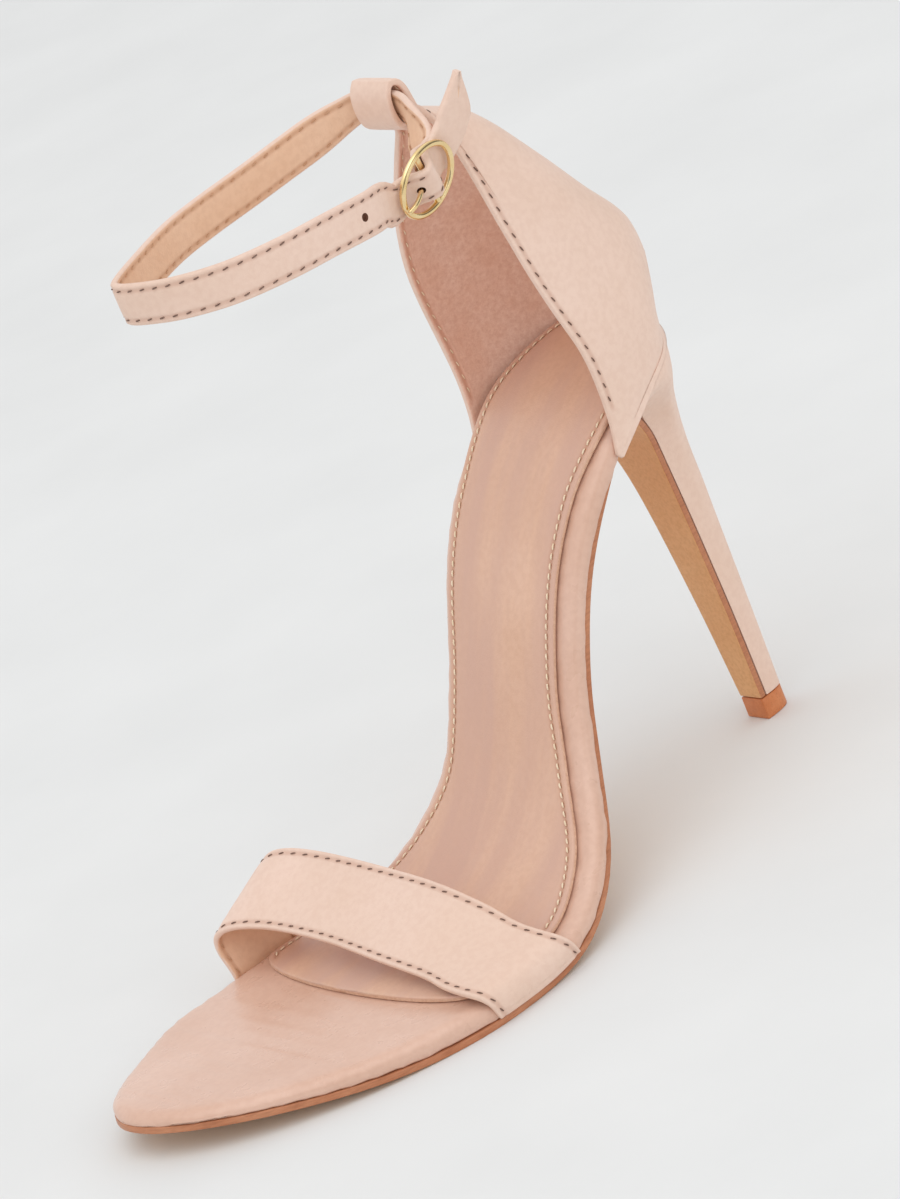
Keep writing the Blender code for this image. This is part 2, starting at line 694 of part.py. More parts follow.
def ankle_route():
    """The ankle strap's centre line, bar to loop to front to buckle to point, with the direction of its width."""
    rim = FRAME_LENGTH / 2 - FRAME_WIRE / 2
    under = FRAME_WIRE / 2 + GAP + ANKLE_STRAP_WALL / 2
    over = BAR_DIAMETER / 2 + GAP + ANKLE_STRAP_WALL / 2
    straight, lean = Vector((0, 0, 1)), buckle_axes()[1]
    rows = [
        (at_buckle(-BAR_DIAMETER / 2, -over), lean),
        (at_buckle(BAR_DIAMETER / 2, -over), lean),
        (at_buckle(STRAP_DIP, -under - ANKLE_STRAP_WALL - 2 * GAP), lean),
    ]
    for ahead, across, drop, turn in SHORT_RUN:
        offset = Vector((ahead * LOOP_TO_BUCKLE.x, across * LOOP_TO_BUCKLE.y, drop * LOOP_TO_BUCKLE.z))
        rows.append((LOOP_AT + offset, straight + turn * Vector((-1, 1, 0))))
    for ahead, across, drop in ANKLE_ROUND:
        offset = Vector((ahead * ANKLE_REACH, across * ANKLE_SPREAD, -drop * BAND_WIDTH))
        rows.append((LOOP_AT + offset, straight))
    rows += [
        (at_buckle(-1.4 * rim, -under + GAP, 0.50 * BAND_WIDTH), (lean + straight) / 2),
        (at_buckle(-rim - FRAME_WIRE / 2, -under - GAP, 0.15 * BAND_WIDTH), lean),
        (at_buckle(-STRAP_DIP, -under, 0.03 * BAND_WIDTH), lean),
        (at_buckle(0, over), lean),
        (at_buckle(STRAP_DIP, -under), lean),
        (at_buckle(rim + FRAME_WIRE / 2, -under - GAP), lean),
        (at_buckle(rim + 0.68 * BAND_WIDTH, -under + GAP, 0.29 * BAND_WIDTH), lean),
        (at_buckle(rim + 1.32 * BAND_WIDTH, -under + 4 * GAP, 1.18 * BAND_WIDTH), lean),
    ]
    joined = [(*place_, *up) for place_, up in rows]
    steps = through(joined, ANKLE_STEPS)
    return [s[:3] for s in steps], [s[3:] for s in steps]


def make_ankle_strap(look):
    route, ups = ankle_route()
    run = [0.0]
    for a, b in zip(route, route[1:]):
        run.append(run[-1] + float(np.linalg.norm(b - a)))
    late = range(len(route) // 2, len(route))
    bar = run[min(late, key=lambda i: np.linalg.norm(route[i] - np.array(BUCKLE_CENTRE)))]
    loop = run[min(range(len(route)), key=lambda i: np.linalg.norm(route[i] - np.array(LOOP_AT)))]
    widths = []
    for s in run:
        in_frame = min(1.0, max(0.0, 2 - abs(s - bar) / STRAP_DIP))
        in_loop = min(1.0, max(0.0, 2 - abs(s - loop) / LOOP_HALF_WIDTH))
        pinch = max(FRAME_PINCH * in_frame, LOOP_PINCH * in_loop)
        widths.append(BAND_WIDTH * (1 - pinch) * min(1.0, 0.12 + 0.88 * (run[-1] - s) / POINT_LENGTH))
    strap = band("ankle_strap", route, ups, widths, ANKLE_STRAP_WALL, look)
    for k in range(3):
        prong = prong_path()
        centre, direction = (prong[0] + prong[2]) / 2, prong[2] - prong[0]
        if k:
            goal = bar - STRAP_DIP / 2 - k * HOLE_PITCH
            centre = Vector([np.interp(goal, run, [p[j] for p in route]) for j in range(3)])
            ahead = Vector([np.interp(goal + MM, run, [p[j] for p in route]) for j in range(3)]) - centre
            direction = ahead.cross(Vector((0, 0, 1)))
        punch(strap, f"hole_{k}", centre, direction)
    return strap


def punch(strap, name, centre, direction):
    """Cuts one round hole through the strap."""
    bpy.ops.mesh.primitive_cylinder_add(vertices=12, radius=HOLE_DIAMETER / 2, depth=2.4 * ANKLE_STRAP_WALL,
                                        location=centre, rotation=direction.to_track_quat("Z", "Y").to_euler())
    cutter = bpy.context.object
    cutter.name = name
    cutter.hide_render = True
    cutter.display_type = "WIRE"
    cut = strap.modifiers.new(name, "BOOLEAN")
    cut.operation = "DIFFERENCE"
    cut.object = cutter


def make_buckle_frame(look):
    """The oval frame with its middle bar."""
    long, tall = (FRAME_LENGTH - FRAME_WIRE) / 2, (FRAME_HEIGHT - FRAME_WIRE) / 2
    out = buckle_axes()[2]
    turns = np.linspace(0, 2 * math.pi, 40, endpoint=False)
    oval = [np.array(at_buckle(long * math.cos(t), 0, tall * math.sin(t))) for t in turns]
    points, faces = tube_mesh(round_rings(oval, WIRE_SIDES, FRAME_WIRE / 2, out, closed=True), closed=True)
    frame = part("buckle_frame", points, faces, look, sharp=80)
    bar_path = [np.array(at_buckle(0, 0, up)) for up in (-tall, 0, tall)]
    points, faces = tube_mesh(round_rings(bar_path, WIRE_SIDES, BAR_DIAMETER / 2, out), closed=False)
    bar = part("bar", points, faces, look)
    bar.hide_render = True
    bar.display_type = "WIRE"
    join = frame.modifiers.new("Bar", "BOOLEAN")
    join.operation = "UNION"
    join.object = bar
    return frame


def prong_path():
    """The prong's centre line: from the bar, through the strap's hole, to rest on the frame's front."""
    rim = FRAME_LENGTH / 2 - FRAME_WIRE / 2
    lift = FRAME_WIRE / 2 + GAP + PRONG_DIAMETER / 2
    start = (BAR_DIAMETER + PRONG_DIAMETER) / 2 + GAP
    return [at_buckle(-start, 0), at_buckle(-0.35 * rim, 0.3 * lift), at_buckle(-0.58 * rim, 0.8 * lift),
            at_buckle(-0.85 * rim, 1.1 * lift), at_buckle(-rim, lift), at_buckle(-rim - 0.8 * MM, 0.95 * lift)]


def make_prong(look):
    steps = through(prong_path(), 12)
    rings = round_rings(steps, 8, PRONG_DIAMETER / 2, buckle_axes()[1])
    points, faces = tube_mesh(rings, closed=False)
    return part("buckle_prong", points, faces, look)


def main():
    for old in list(bpy.data.objects):
        bpy.data.objects.remove(old)
    nude = material("nude_leather", (0.80, 0.56, 0.46), 0.48)
    insole_nude = material("insole_leather", (0.78, 0.53, 0.43), 0.42)
    sock_tan = material("sock_leather", (0.70, 0.44, 0.30), 0.45)
    sole_tan = material("outsole_tan", (0.56, 0.30, 0.14), 0.50)
    tip_brown = material("tip_rubber", (0.50, 0.16, 0.05), 0.55)
    gold = material("pale_gold", (0.90, 0.72, 0.42), 0.20, 1.0)
    make_insole(insole_nude)
    make_sock(sock_tan)
    make_outsole(sole_tan)
    make_heel(nude)
    make_heel_tip(tip_brown)
    make_counter(nude)
    make_toe_strap(nude)
    make_ankle_strap(nude)
    make_buckle_frame(gold)
    make_prong(gold)


main()
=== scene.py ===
"""Looks of the strappy heeled sandal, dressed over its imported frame.

Metres, +Z up, +X towards the toe, +Y towards the outer side of this left shoe.
"""

import itertools
import math

import bmesh
import bpy
import numpy as np
from mathutils import Matrix, Vector
from mathutils.bvhtree import BVHTree
from mathutils.kdtree import KDTree


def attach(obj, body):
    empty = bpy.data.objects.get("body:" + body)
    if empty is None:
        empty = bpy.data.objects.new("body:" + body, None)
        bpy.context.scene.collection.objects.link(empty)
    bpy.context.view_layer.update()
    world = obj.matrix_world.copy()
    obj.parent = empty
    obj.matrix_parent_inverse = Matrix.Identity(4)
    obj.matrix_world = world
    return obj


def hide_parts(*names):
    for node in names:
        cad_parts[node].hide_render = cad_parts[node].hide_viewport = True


MM = 0.001

# Photograph: the camera's place seen from the shoe, and what it aims at
CENTRE = Vector((85, 0, 60)) * MM
TO_CAMERA = Vector((0.4952, 0.7883, 0.3651)).normalized()
PICTURE_UP = Vector((-0.5061, -0.0799, 0.8588)).normalized()
PICTURE_RIGHT = PICTURE_UP.cross(TO_CAMERA)
CAMERA_DISTANCE = 1300 * MM
AIM = CENTRE + PICTURE_RIGHT * 7.74 * MM + PICTURE_UP * 15.82 * MM
LENS = 178.9

# Stitches: from one to the next, their length and their width
SEAM_PITCH = 3.3 * MM
SEAM_STITCH = 1.35 * MM
SEAM_WIDTH = 0.34 * MM
SOCK_PITCH = 2.2 * MM
SOCK_STITCH = 1.5 * MM
SOCK_STITCH_WIDTH = 0.52 * MM

# One stitch: way along as a share of its length, then thickness and lift as shares of its width
STITCH_FORM = ((-0.50, 0.30, -0.32), (-0.40, 0.80, -0.06), (0.0, 1.0, 0.10), (0.40, 0.80, -0.06),
               (0.50, 0.30, -0.32))
STITCH_SIDES = 6

# Grooves that seams press into leather
LINE_STEP = 0.5 * MM
GROOVE_DEPTH = 0.16 * MM
GROOVE_REACH = 0.9 * MM
SOCK_GROOVE_DEPTH = 0.30 * MM
SOCK_GROOVE_REACH = 1.0 * MM

# How far each seam lies in from its edge, and where seams stop
COUNTER_SEAM = 1.4 * MM
TOE_SEAM = 1.4 * MM
ANKLE_SEAM = 1.35 * MM
SOCK_SEAM = 1.9 * MM
SOCK_SEAM_STOP = 6.0 * MM
PLAIN_TAIL = 22.0 * MM
NARROWEST_SEWN = 5.5 * MM

# Height, and how far the leather behind the heel's seat lies forward of the CAD, in mm
HEEL_SHAPE = ((60, 0.0), (74, 0.7), (83, 1.6), (93, 2.3), (99, 2.0), (106, 1.8))
SEAT_SHAPE = ((78, 0.0), (92, 1.3), (99, 1.9), (104, 1.7), (109, 0.6), (116, -0.9), (124, -1.3),
              (134, -0.5), (142, 0.0))

# How far forward that shift starts, and the length over which it grows
SHIFTED_BEHIND = 8 * MM
SHIFT_BLEND = 13 * MM

# Counter: its foot is glued under the sock, and its top line is sewn
FOOT_TOP = 107 * MM
SEWN_ABOVE = 100 * MM

# Heel's top: it flares to the counter's foot, and its rim slips up and in behind it
SEAT_FLARE = 13.0 * MM
FLARE_GAP = 0.05 * MM
RIM_REACH = 1.5 * MM
RIM_RISE = 1.0 * MM
RIM_TUCK = 0.45 * MM
SEAT_MIDDLE = 15 * MM

# Softened edges
EDGE_RADIUS = 0.5 * MM
EDGE_LOOPS = (0.9 * MM, 0.45 * MM, 0.4 * MM, 0.4 * MM, 0.5 * MM)
HEEL_EDGE = 0.3 * MM
TIP_EDGE = 0.35 * MM
OUTSOLE_EDGE = 0.28 * MM

# Insole: its rim lies outside the flat of its top by OUT, and further out by SEAT towards the back
SEAT_END = 52.0 * MM
INSOLE_OUT = 1.9 * MM
INSOLE_SEAT = -1.5 * MM
INSOLE_EDGE = 3.0 * MM
INSOLE_ROLL = 9.0 * MM
INSOLE_DROP = 0.7 * MM
INSOLE_FOOT = 0.4 * MM

# Sock, as the insole
SOCK_OUT = 0.5 * MM
SOCK_SEAT = 2.6 * MM
SOCK_WALL = 1.1 * MM
SOCK_CROWN = 0.35 * MM
CROWN_REACH = 10 * MM
SOCK_EDGE = 0.6 * MM
SOCK_EDGE_DROP = 0.4 * MM
SOCK_FOOT = 0.05 * MM

# Cross sections of a layer of the sole, and places in from its rim, in mm
LAYER_ROWS = 150
LAYER_STEPS = (0, 0.12, 0.3, 0.55, 0.85, 1.2, 1.5, 1.8, 2.1, 2.45, 3.0, 3.8, 5.0, 6.5, 8.5, 11.5)

# Ankle strap's cross section: places in from its rounded edge, in mm, and how full its faces are
STRAP_STEPS = (0.0, 0.35, 0.75, 1.05, 1.35, 1.65, 2.05, 2.7, 3.5)
STRAP_CROWN = 0.10 * MM
PUNCHED = 1.9 * MM

# Buckle
WIRE = 1.5 * MM
BAR = 1.4 * MM
WIRE_SIDES = 16

# Colours on a screen: a look's own tone, a lighter one and a deeper one
NUDE = ((231, 201, 182), (236, 207, 190), (204, 163, 142))
WRAP = ((217, 177, 155), (224, 187, 167), (190, 144, 122))
SOCK = ((219, 177, 150), (226, 186, 161), (186, 134, 104))
# The sock's greyer streaks: partly random tone, partly painted sheen
SOCK_SHEEN_STREAK = (208, 168, 150)
SOCK_CUT = ((222, 182, 154), (232, 196, 170), (190, 144, 116))
LINING = ((241, 203, 182), (246, 213, 195), (218, 168, 144))
STRAP_LINING = ((230, 188, 155), (236, 198, 168), (196, 146, 112))
PUNCHED_CUT = ((122, 84, 66), (140, 98, 78), (90, 58, 44))
SOLE = ((226, 172, 118), (232, 182, 130), (202, 144, 90))
SOLE_STAIN = ((186, 120, 84), (198, 136, 100), (148, 88, 58))
TIP = ((200, 118, 68), (210, 132, 82), (166, 88, 46))
GOLD = ((238, 208, 150), (246, 222, 172))
# Outer seams' stitches: dark with the painted shade of their stitch holes
HOLE_SHADE_THREAD = ((122, 95, 83), (138, 110, 97), (84, 62, 54))
PALE_THREAD = ((246, 226, 196), (250, 234, 210), (220, 190, 152))
TAN_THREAD = ((206, 160, 124), (220, 178, 144), (160, 112, 80))
PAPER = ((227, 228, 227), (231, 232, 231))

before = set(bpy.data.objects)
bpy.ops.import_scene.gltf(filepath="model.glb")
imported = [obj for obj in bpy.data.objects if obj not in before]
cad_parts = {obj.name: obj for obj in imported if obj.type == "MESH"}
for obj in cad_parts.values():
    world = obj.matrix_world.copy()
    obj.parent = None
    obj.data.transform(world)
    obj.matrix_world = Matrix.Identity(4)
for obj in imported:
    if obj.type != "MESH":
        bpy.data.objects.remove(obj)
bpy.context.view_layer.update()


def srgb(red, green, blue):
    """A colour as a screen shows it, turned to the values that light is reckoned in."""
    shares = (red / 255, green / 255, blue / 255)
    return tuple(s / 12.92 if s <= 0.04045 else ((s + 0.055) / 1.055) ** 2.4 for s in shares) + (1.0,)


def tones(screen_colours):
    """A look's colours, in the values that light is reckoned in."""
    return [srgb(*colour) for colour in screen_colours]


class Look:
    """A Principled material. Its colour, roughness and relief come from procedural nodes."""

    def __init__(self, name, sockets=()):
        self.material = bpy.data.materials.new(name)
        self.material.use_nodes = True
        self.tree = self.material.node_tree
        self.shader = self.tree.nodes["Principled BSDF"]
        self.normal = None
        self.place = self.node("TexCoord").outputs["Object"]
        for socket, value in dict(sockets).items():
            self.shader.inputs[socket].default_value = value

    def node(self, kind, inputs=(), **settings):
        """A shader node. Each input is a value, or the socket that it is linked from."""
        made = self.tree.nodes.new("ShaderNode" + kind)
        for setting, value in settings.items():
            setattr(made, setting, value)
        for socket, value in dict(inputs).items():
            if isinstance(value, bpy.types.NodeSocket):
                self.tree.links.new(value, made.inputs[socket])
            else:
                made.inputs[socket].default_value = value
        return made

    def noise(self, size, detail=2.0, rough=0.5, stretch=None):
        """Cloudy noise whose blobs are about this size, in metres."""
        place = self.place
        if stretch:
            place = self.node("Mapping", {"Vector": place, "Scale": stretch}).outputs["Vector"]
        inputs = {"Vector": place, "Scale": 1 / size, "Detail": detail, "Roughness": rough}
        return self.node("TexNoise", inputs).outputs["Fac"]

    def cells(self, size):
        """Distance to the nearest of many scattered points."""
        return self.node("TexVoronoi", {"Vector": self.place, "Scale": 1 / size}).outputs["Distance"]

    def spread(self, value, low, high, to_low=0.0, to_high=1.0):
        """A value from one range stretched over another."""
        inputs = {"Value": value, "From Min": low, "From Max": high, "To Min": to_low, "To Max": to_high}
        return self.node("MapRange", inputs).outputs["Result"]

    def mixed(self, share, first, second):
        """One colour turned into another by this share."""
        return self.node("Mix", {0: share, 6: first, 7: second}, data_type="RGBA").outputs[2]

    def worn(self, name):
        """A value stored on the mesh's points."""
        return self.node("Attribute", attribute_name=name).outputs["Fac"]

    def times(self, value, by):
        """A value made weaker or stronger."""
        return self.node("Math", {0: value, 1: by}, operation="MULTIPLY").outputs[0]

    def relief(self, height, depth, strength=1.0):
        """Lays fine relief of this depth over what is there."""
        inputs = {"Height": height, "Distance": depth, "Strength": strength}
        if self.normal:
            inputs["Normal"] = self.normal
        self.normal = self.node("Bump", inputs).outputs["Normal"]

    def finish(self, colour, roughness):
        """The material, with its colour, roughness and relief linked up."""
        self.tree.links.new(colour, self.shader.inputs["Base Color"])
        self.tree.links.new(roughness, self.shader.inputs["Roughness"])
        self.tree.links.new(self.normal, self.shader.inputs["Normal"])
        return self.material


def smooth_leather(name, colours, roughness, grain=1.0, coat=0.0, sheen_streak=None):
    """Soft dressed leather: cloudy tone, fine pores, faint creases, and a deeper tone in its grooves that
    is painted shade with some dirt.
    """
    colour, lighter, deeper = tones(colours)
    look = Look(name, {"Specular IOR Level": 0.42, "Sheen Weight": 0.06, "Sheen Roughness": 0.45,
                       "Sheen Tint": lighter, "Coat Weight": coat, "Coat Roughness": 0.22})
    tone = look.mixed(look.spread(look.noise(26 * MM, 3), 0.35, 0.65), colour, lighter)
    tone = look.mixed(look.times(look.spread(look.noise(1.4 * MM, 4), 0.40, 0.62), 0.14), tone, deeper)
    # Where asked, greyer lengthwise streaks laid at random: partly random tone, partly painted sheen.
    if sheen_streak:
        drawn = look.spread(look.noise(11 * MM, 3, 0.5, (0.14, 1.0, 0.14)), 0.42, 0.64, 0.0, 0.8)
        tone = look.mixed(drawn, tone, srgb(*sheen_streak))
    # Painted shade, with some dirt, deepens the tone in the seams' grooves.
    tone = look.mixed(look.times(look.worn("groove_dirt_and_shade"), 0.6), tone, deeper)
    look.relief(look.spread(look.cells(0.55 * MM), 0.05, 0.55), 0.030 * MM, 0.55 * grain)
    look.relief(look.noise(0.25 * MM, 3), 0.018 * MM, 0.5 * grain)
    look.relief(look.noise(7 * MM, 2, 0.5), 0.10 * MM, 0.5 * grain)
    shine = look.spread(look.noise(5 * MM, 3), 0.3, 0.7, roughness - 0.05, roughness + 0.06)
    return look.finish(tone, shine)


def suede(name, colours):
    """Napped lining: mottled, with short fibres and no gloss."""
    colour, lighter, deeper = tones(colours)
    look = Look(name, {"Specular IOR Level": 0.22, "Sheen Weight": 0.22, "Sheen Roughness": 0.6,
                       "Sheen Tint": lighter})
    tone = look.mixed(look.spread(look.noise(9 * MM, 3), 0.36, 0.64), colour, lighter)
    tone = look.mixed(look.times(look.spread(look.noise(1.1 * MM, 5, 0.7), 0.36, 0.64), 0.55), tone, deeper)
    tone = look.mixed(look.times(look.spread(look.noise(0.35 * MM, 2), 0.55, 0.75), 0.35), tone, lighter)
    # Painted shade, with some dirt, deepens the tone in the seams' grooves.
    tone = look.mixed(look.worn("groove_dirt_and_shade"), tone, deeper)
    look.relief(look.noise(0.30 * MM, 4, 0.7), 0.10 * MM, 0.8)
    look.relief(look.noise(1.6 * MM, 3, 0.6), 0.10 * MM, 0.5)
    return look.finish(tone, look.spread(look.noise(2 * MM, 2), 0.3, 0.7, 0.82, 0.95))


def sole_leather(name, colours, roughness, fibre):
    """Cut sole leather: fibres drawn one way, small scuffs, dull gloss."""
    colour, lighter, deeper = tones(colours)
    look = Look(name, {"Specular IOR Level": 0.35})
    tone = look.mixed(look.spread(look.noise(14 * MM, 4, 0.6), 0.35, 0.65), colour, lighter)
    fibres = look.spread(look.noise(0.9 * MM, 4, 0.65, fibre), 0.42, 0.66)
    tone = look.mixed(look.times(fibres, 0.45), tone, deeper)
    look.relief(look.noise(0.5 * MM, 3, 0.6, fibre), 0.05 * MM, 0.7)
    scuffs = look.spread(look.noise(3 * MM, 5, 0.7), 0.58, 0.74)
    look.relief(scuffs, 0.03 * MM, 0.6)
    return look.finish(tone, look.spread(scuffs, 0, 1, roughness, roughness + 0.12))


def rubber(name, colours):
    """Hard moulded top piece with fine speckle and rubbed faces."""
    colour, lighter, deeper = tones(colours)
    look = Look(name, {"Specular IOR Level": 0.5})
    tone = look.mixed(look.spread(look.noise(2.2 * MM, 4, 0.7), 0.38, 0.62), colour, lighter)
    tone = look.mixed(look.times(look.spread(look.noise(0.4 * MM, 2), 0.55, 0.7), 0.4), tone, deeper)
    look.relief(look.noise(0.35 * MM, 3), 0.03 * MM, 0.6)
    return look.finish(tone, look.spread(look.noise(1.5 * MM, 3), 0.3, 0.7, 0.36, 0.52))


def thread(name, colours):
    """Twisted sewing thread. Each stitch has its own slight tone."""
    colour, lighter, deeper = tones(colours)
    look = Look(name, {"Specular IOR Level": 0.3, "Sheen Weight": 0.2, "Sheen Roughness": 0.4,
                       "Sheen Tint": lighter})
    tone = look.mixed(look.worn("tint"), colour, lighter)
    tone = look.mixed(look.times(look.spread(look.noise(0.16 * MM, 2), 0.4, 0.6), 0.5), tone, deeper)
    look.relief(look.noise(0.14 * MM, 2, 0.5), 0.05 * MM, 0.9)
    return look.finish(tone, look.spread(look.noise(0.5 * MM, 2), 0.3, 0.7, 0.55, 0.75))


def plated(name, colours):
    """Polished plating with hair-fine polishing marks."""
    colour, lighter = tones(colours)
    look = Look(name, {"Metallic": 1.0, "Specular IOR Level": 0.5})
    tone = look.mixed(look.spread(look.noise(3 * MM, 3), 0.35, 0.65), colour, lighter)
    marks = look.noise(0.6 * MM, 4, 0.6, (1.0, 4.0, 1.0))
    look.relief(marks, 0.004 * MM, 0.5)
    return look.finish(tone, look.spread(marks, 0.3, 0.7, 0.10, 0.22))


def paper(name, colours):
    """The pale studio floor."""
    colour, lighter = tones(colours)
    look = Look(name, {"Specular IOR Level": 0.1})
    tone = look.mixed(look.spread(look.noise(60 * MM, 4), 0.3, 0.7), colour, lighter)
    look.relief(look.noise(1 * MM, 2), 0.02 * MM, 0.2)
    return look.finish(tone, look.spread(look.noise(20 * MM, 2), 0.3, 0.7, 0.88, 0.95))


def mean(points):
    """The middle of these points."""
    points = list(points)
    return sum(points, Vector()) / len(points)


def tree_of(points):
    """A tree that finds the nearest of these points."""
    tree = KDTree(len(points))
    for i, point in enumerate(points):
        tree.insert(point, i)
    tree.balance()
    return tree


def in_scene(name, data):
    """A new object in the scene, from a mesh, a lamp or a lens."""
    made = bpy.data.objects.new(name, data)
    bpy.context.scene.collection.objects.link(made)
    return made


def eased(share):
    """A share from 0 to 1 that starts and ends slowly."""
    return share * share * (3 - 2 * share)


def skin(build, rings):
    """Quads from each ring of points to the next, ring by ring. A closed tube repeats its first ring."""
    faces = []
    for here, there in zip(rings, rings[1:]):
        for i in range(len(here)):
            j = (i + 1) % len(here)
            faces.append(build.faces.new((here[i], here[j], there[j], there[i])))
    return faces


def welded(node):
    """A copy of a CAD node's mesh with its points welded."""
    build = bmesh.new()
    build.from_mesh(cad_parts[node].data)
    bmesh.ops.remove_doubles(build, verts=build.verts, dist=1e-6)
    return build


def to_quads(build):
    """Joins pairs of triangles that lie almost flat."""
    bmesh.ops.join_triangles(build, faces=build.faces, angle_face_threshold=math.radians(25),
                             angle_shape_threshold=math.radians(60))
    build.normal_update()


def patches(build, bend=50):
    """Faces gathered where they meet at less than bend degrees. The largest patch comes first."""
    build.faces.index_update()
    seen, found = set(), []
    for start in build.faces:
        if start.index in seen:
            continue
        seen.add(start.index)
        patch, todo = [], [start]
        while todo:
            face = todo.pop()
            patch.append(face)
            flat = [edge for edge in face.edges if edge.calc_face_angle(0) < math.radians(bend)]
            for other in (other for edge in flat for other in edge.link_faces):
                if other.index not in seen:
                    seen.add(other.index)
                    todo.append(other)
        found.append(patch)
    return sorted(found, key=lambda patch: -sum(face.calc_area() for face in patch))


def chains(edges):
    """Open or closed runs of points along these edges."""
    links = {}
    for edge in edges:
        for vert in edge.verts:
            links.setdefault(vert, []).append(edge.other_vert(vert))
    left = set(links)
    found = []
    starts = [v for v in links if len(links[v]) == 1] + list(links)
    for start in starts:
        if start not in left:
            continue
        run = [start]
        left.discard(start)
        while True:
            ahead = [v for v in links[run[-1]] if v in left]
            if not ahead:
                break
            run.append(ahead[0])
            left.discard(ahead[0])
        found.append(run)
    return sorted(found, key=lambda run: -len(run))


def border_lines(patch, inset, allowed):
    """Lines along a patch's border, moved in by inset. allowed picks the border's edges."""
    inside = set(patch)
    border = [e for f in patch for e in f.edges
              if sum(other in inside for other in e.link_faces) == 1 and allowed(e)]
    lines = []
    for run in chains(border):
        if len(run) < 4:
            continue
        points = []
        for i, vert in enumerate(run):
            ahead = (run[min(i + 1, len(run) - 1)].co - run[max(i - 1, 0)].co).normalized()
            near = [f for f in vert.link_faces if f in inside]
            normal = sum((f.normal for f in near), Vector()).normalized()
            inward = ahead.cross(normal).normalized()
            if inward.dot(mean(f.calc_center_median() for f in near) - vert.co) < 0:
                inward = -inward
            points.append(vert.co + inward * inset)
        lines.append(np.array([tuple(p) for p in points]))
    return lines


def ways_along(line):
    """The way along a line to each of its points."""
    return np.concatenate([[0], np.cumsum(np.linalg.norm(np.diff(line, axis=0), axis=1))])


def resampled(line):
    """Points at even steps along a line, rounded off a little."""
    run = ways_along(line)
    count = max(int(run[-1] / LINE_STEP), 2)
    at = np.linspace(0, run[-1], count + 1)
    even = np.stack([np.interp(at, run, line[:, k]) for k in range(3)], 1)
    for _ in range(6):
        even[1:-1] = even[1:-1] / 2 + (even[:-2] + even[2:]) / 4
    return even


def laid(line, tree):
    """The line's points moved on to a surface, with the surface's normals."""
    points, normals = [], []
    for p in line:
        spot, normal, _, _ = tree.find_nearest(Vector(p))
        points.append(tuple(spot))
        normals.append(tuple(normal))
    return np.array(points), np.array(normals)


def finished(name, build, looks, levels, sharp=None):
    """An object from a bmesh, subdivided and shaded smooth."""
    mesh = bpy.data.meshes.new(name)
    bmesh.ops.recalc_face_normals(build, faces=build.faces)
    build.to_mesh(mesh)
    build.free()
    for look in looks:
        mesh.materials.append(look)
    made = in_scene(name, mesh)
    if levels:
        smooth = made.modifiers.new("Smooth", "SUBSURF")
        smooth.levels = smooth.render_levels = levels
    return settle(made, sharp)


def settle(made, sharp=None):
    """Applies an object's modifiers, so that what follows works on its final mesh."""
    view = bpy.context.evaluated_depsgraph_get()
    mesh = bpy.data.meshes.new_from_object(made.evaluated_get(view))
    made.modifiers.clear()
    old = made.data
    made.data = mesh
    bpy.data.meshes.remove(old)
    mesh.name = made.name
    mesh.shade_smooth()
    if sharp:
        mesh.set_sharp_from_angle(angle=math.radians(sharp))
    return made


def surface(made):
    """A tree that finds the nearest place on a piece."""
    build = bmesh.new()
    build.from_mesh(made.data)
    tree = BVHTree.FromBMesh(build)
    build.free()
    return tree


def store(made, name, values):
    """Keeps a value for each of a mesh's points, which its material reads."""
    layer = made.data.attributes.get(name) or made.data.attributes.new(name, "FLOAT", "POINT")
    layer.data.foreach_set("value", np.asarray(values, np.float32))


def press(made, laid_lines, depth, reach):
    """Sinks a groove into a mesh along lines that lie on it, and stores how deep each point is, which the
    looks paint as shade and some dirt in the groove.
    """
    tree = tree_of(np.concatenate([points for points, _ in laid_lines]))
    normals = np.concatenate([normals for _, normals in laid_lines])
    sunk = np.zeros(len(made.data.vertices))
    moves = []
    for v in made.data.vertices:
        _, i, far = tree.find(v.co)
        normal = Vector(normals[i])
        if far < reach and v.normal.dot(normal) > 0.5:
            share = (1 - (far / reach) ** 2) ** 2
            sunk[v.index] = share
            moves.append((v, v.co - normal * depth * share))
    for v, co in moves:
        v.co = co
    store(made, "groove_dirt_and_shade", sunk)
    made.data.update()


def stitch_points(centre, normal, ahead, length, width):
    """Points of one stitch, a rounded bead whose ends dip into the leather."""
    side = normal.cross(ahead)
    points = []
    for along, thick, lift in STITCH_FORM:
        middle = centre + ahead * along * length + normal * lift * width
        for i in range(STITCH_SIDES):
            turn = 2 * math.pi * i / STITCH_SIDES
            points.append(middle + side * math.cos(turn) * thick * width / 2
                          + normal * math.sin(turn) * thick * width * 0.4)
    return points


def stitch_faces(base):
    """Faces of one stitch, whose points are numbered from base."""
    faces = []
    for r in range(len(STITCH_FORM) - 1):
        a, b = base + r * STITCH_SIDES, base + (r + 1) * STITCH_SIDES
        for i in range(STITCH_SIDES):
            j = (i + 1) % STITCH_SIDES
            faces.append((a + i, a + j, b + j, b + i))
    last = base + (len(STITCH_FORM) - 1) * STITCH_SIDES
    faces.append(tuple(base + i for i in reversed(range(STITCH_SIDES))))
    faces.append(tuple(last + i for i in range(STITCH_SIDES)))
    return faces


